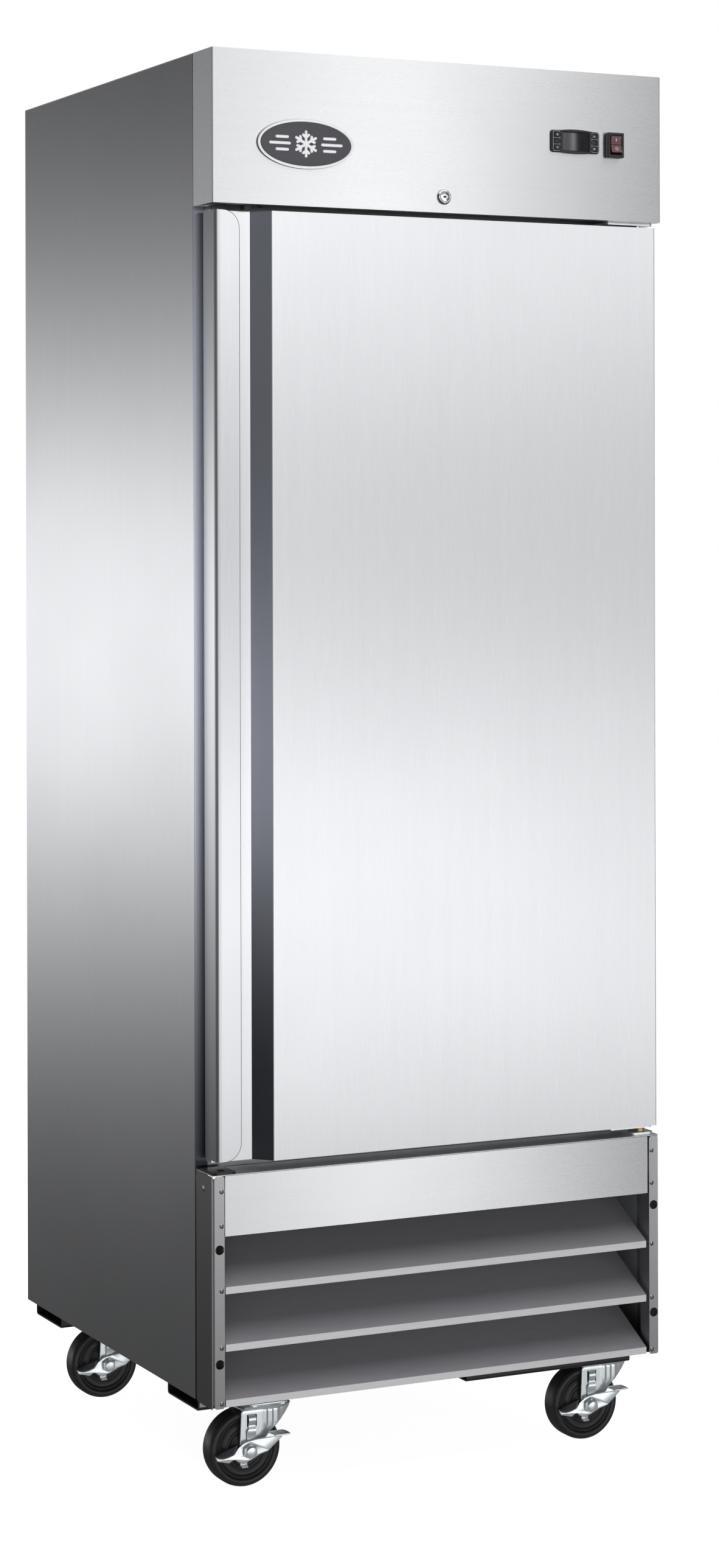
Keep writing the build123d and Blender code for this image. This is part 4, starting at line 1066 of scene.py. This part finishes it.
def make_lock():
    """The lock's crowned barrel on the cabinet, and its plug with a keyway and a guide dimple, both darkened
    by painted shade.
    """
    x, _, z = middle("lock_barrel")
    centre = (x, HEADER_FRONT, z)
    place = moved(*centre)
    barrel = Shape()
    section = [(7.15, 18), (8.5, 18), (8.5, 4), (11, 4), (11, 1.3), (8.6, 1.3), (8.6, 0), (11.3, 0),
               (11.3, -0.7), (11.0, -1.6), (10.5, -2.6), (9.9, -3.5), (9.4, -4.0), (8.9, -4.25), (8.2, -4.3),
               (7.7, -4.0), (7.4, -3.5), (7.15, -3.0)]
    barrel.lathe(section, centre, "y", closed=True, segments=96)
    barrel.piece("lock_bezel", "cabinet", ["chrome"], ["lock_barrel"])
    plug = Shape()
    upper = [(-2.9, 0.5), (-1.3, 0.7), (-0.6, 1.6), (0.6, 1.6), (1.3, 0.7), (2.9, 0.5)]
    keyway = upper + [(px, -pz) for px, pz in reversed(upper)]
    plug.plate([ring_points(7.0, 72), keyway], -4.4, -1.0, 0.35, place=place)
    # Painted shade: a black disc behind the keyway darkens the keyway's floor, and a black dot stands for the
    # guide dimple.
    plug.plate([ring_points(6.7, 48)], -3.4, -1.6, 0.1, finish=1, place=place)
    plug.plate([ring_points(0.65, 16, 4.3, 0)], -4.5, -4.2, 0.05, finish=1, place=place)
    plug.plate([ring_points(7.0, 48)], -1.2, 22.2, 0.2, place=place)
    cam_reach = corners("lock_plug")[1][0] - x
    cam = rounded([(-7.0, -6.0), (cam_reach, -5), (cam_reach, 5), (-7.0, 6.0)], 4.8, 8)
    plug.plate([cam], 22.0, 24.5, 0.4, place=place)
    plug.lathe([(0, 24.5), (4.2, 24.5), (4.2, 26.4), (3.4, 27.2), (0, 27.4)], centre, "y", segments=32)
    plug.piece("lock_cylinder", "lock", ["chrome", "black_paint"], ["lock_plug"])


make_badge()
make_controller()
make_switch()
make_lock()


# ---------- screws, rivets and hinge trim

def dome(shape, centre, normal, radius, height, cross=True, finish=0):
    """A domed head facing a direction, with or without a cross recess."""
    normal = Vector(normal)
    side = normal.orthogonal().normalized()
    up = normal.cross(side)
    rings, segments = 18, 72
    rows = []
    for ring in range(rings + 1):
        share = 1 - ring / rings
        row = []
        for k in range(segments):
            angle = 2 * math.pi * k / segments
            u, v = share * math.cos(angle), share * math.sin(angle)
            stand = height * (1 - share ** 2.4)
            if cross:
                arms = [(1 - smooth(abs(a), 0.12, 0.24)) * (1 - smooth(abs(b), 0.42, 0.56))
                        for a, b in ((u, v), (v, u))]
                stand -= 0.75 * height * max(arms)
            row.append(Vector(centre) + (side * u + up * v) * radius + normal * stand)
        rows.append(row)
    shape.grid(rows, finish, close_rows=True)


SCREW_LEVELS = (453.0, 404.0, 312.0, 231.0, 152.0)
RIVET_Y = -346.5
BRACKET_SCREWS = [(302, -338), (322, -338)]


def make_fasteners():
    """Cross-head screws down both columns, a rivet in each side, and the upper hinge bracket's screws."""
    screws = Shape()
    edge, face, _ = corners("column_right")[0]
    side_face = corners("fasteners")[1][0] - 0.8
    for side in (-1, 1):
        for level in SCREW_LEVELS:
            dome(screws, (side * (edge + 6.0), face, level), (0, -1, 0), 3.4, 1.9)
        dome(screws, (side * side_face, RIVET_Y, SCREW_LEVELS[0]), (side, 0, 0), 4.6, 1.0, cross=False)
    for x, y in BRACKET_SCREWS:
        dome(screws, (x, y, HEADER_UNDER - 3.8), (0, 0, -1), 5.0, 2.4)
    screws.piece("screws_and_rivets", "cabinet", ["screw_steel"], ["fasteners"])


def make_header_underside():
    """A latch block and a cross-head screw under the left end of the header."""
    trim = Shape()
    block = panel(13, 9, 1.0, -302, HEADER_UNDER - 1.5)
    trim.plate([block], HEADER_FRONT + 24, HEADER_FRONT + 40, 0.6)
    screw = (-287, HEADER_FRONT + 16, HEADER_UNDER + 0.2)
    dome(trim, screw, (0, 0, -1), 4.4, 4.2, finish=1)
    trim.lathe([(0, 0), (6.2, 0), (6.2, -0.9), (0, -0.9)], screw, "z", finish=1, segments=32)
    trim.piece("header_underside_trim", "cabinet", ["black_plastic", "dark_steel"])


def make_hinge_ring():
    """The grooved brass ring that the door turns on."""
    hinge = next(joint for joint in frame["joints"] if joint["name"] == "door_hinge")
    x, y, _ = [value / MM for value in hinge["pos_m"]]
    ring = Shape()
    section = [(5.2, 0.1), (7.9, 0.1), (8.4, 0.6), (8.4, 2.8), (7.7, 3.3), (7.7, 3.9), (8.4, 4.4), (8.4, 5.6),
               (7.9, 6.0), (5.2, 6.0)]
    ring.lathe(section, (x, y, corners("door_hinge_plates")[0][2]), "z", closed=True, segments=72)
    ring.piece("hinge_ring", "door", ["brass"])


FLANGE_CORNER = 26.0


def make_flange_shadow_line():
    """A thin dark strip along the edge of the handle's front flange, with its two round corners: a painted
    shadow line where the flange stands over the recess.
    """
    low, high = corners("handle")
    radius = FLANGE_CORNER

    def line(inset):
        """The flange's outline, from its lower edge round the free side to its upper edge."""
        bend, right = high[0] - radius, high[0] - inset
        reach = right - bend
        angles = spaced(0, math.pi / 2, 14)
        lower = [(bend + reach * math.sin(a), low[2] + radius - reach * math.cos(a)) for a in angles]
        upper = [(px, low[2] + high[2] - pz) for px, pz in reversed(lower)]
        return [(bend - 5, lower[0][1])] + lower + upper + [(bend - 5, upper[-1][1])]

    edge = Shape()
    edge.plate([line(-0.3) + line(0.4)[::-1]], low[1] - 0.1, low[1] + 1.6, 0.05)
    # Painted shadow: the dark strip stands for the shade line at the flange's edge.
    edge.piece("flange_shadow_line", "door", ["dark_steel"])


make_fasteners()
make_header_underside()
make_hinge_ring()
make_flange_shadow_line()


# ---------- door seal

def make_gasket():
    """The vinyl bellows seal: one section carried round the door with mitred corners."""
    low, high = corners("gasket")
    depth = high[1] - low[1]
    # Distance in from the seal's outer edge, and share of its depth
    section = [(2.5, 0.0), (16.0, 0.0), (16.4, 0.10), (12.0, 0.22), (15.2, 0.34), (12.2, 0.48), (15.6, 0.58),
               (17.6, 0.66), (17.9, 0.96), (17.4, 1.0), (0.6, 1.0), (0.0, 0.95), (0.3, 0.68), (3.0, 0.58),
               (6.0, 0.46), (2.6, 0.34), (6.2, 0.22), (2.2, 0.10)]
    steps = 12
    rows = []
    for inset, share in section:
        left, right = low[0] + inset, high[0] - inset
        bottom, top = low[2] + inset, high[2] - inset
        ring = []
        corners_xz = [(left, bottom), (right, bottom), (right, top), (left, top)]
        for index, (cx, cz) in enumerate(corners_xz):
            nx, nz = corners_xz[(index + 1) % 4]
            for k in range(steps):
                t = k / steps
                ring.append((cx + (nx - cx) * t, low[1] + depth * share, cz + (nz - cz) * t))
        rows.append(ring)
    rows.append(rows[0])
    seal = Shape()
    seal.grid(rows, close_rows=True)
    seal.piece("door_seal", "door", ["gasket_vinyl"], ["gasket"], sharp=60)


make_gasket()
make_camera()
make_world()
make_floor()
make_overhead_light()
bpy.context.scene.view_settings.view_transform = "Standard"
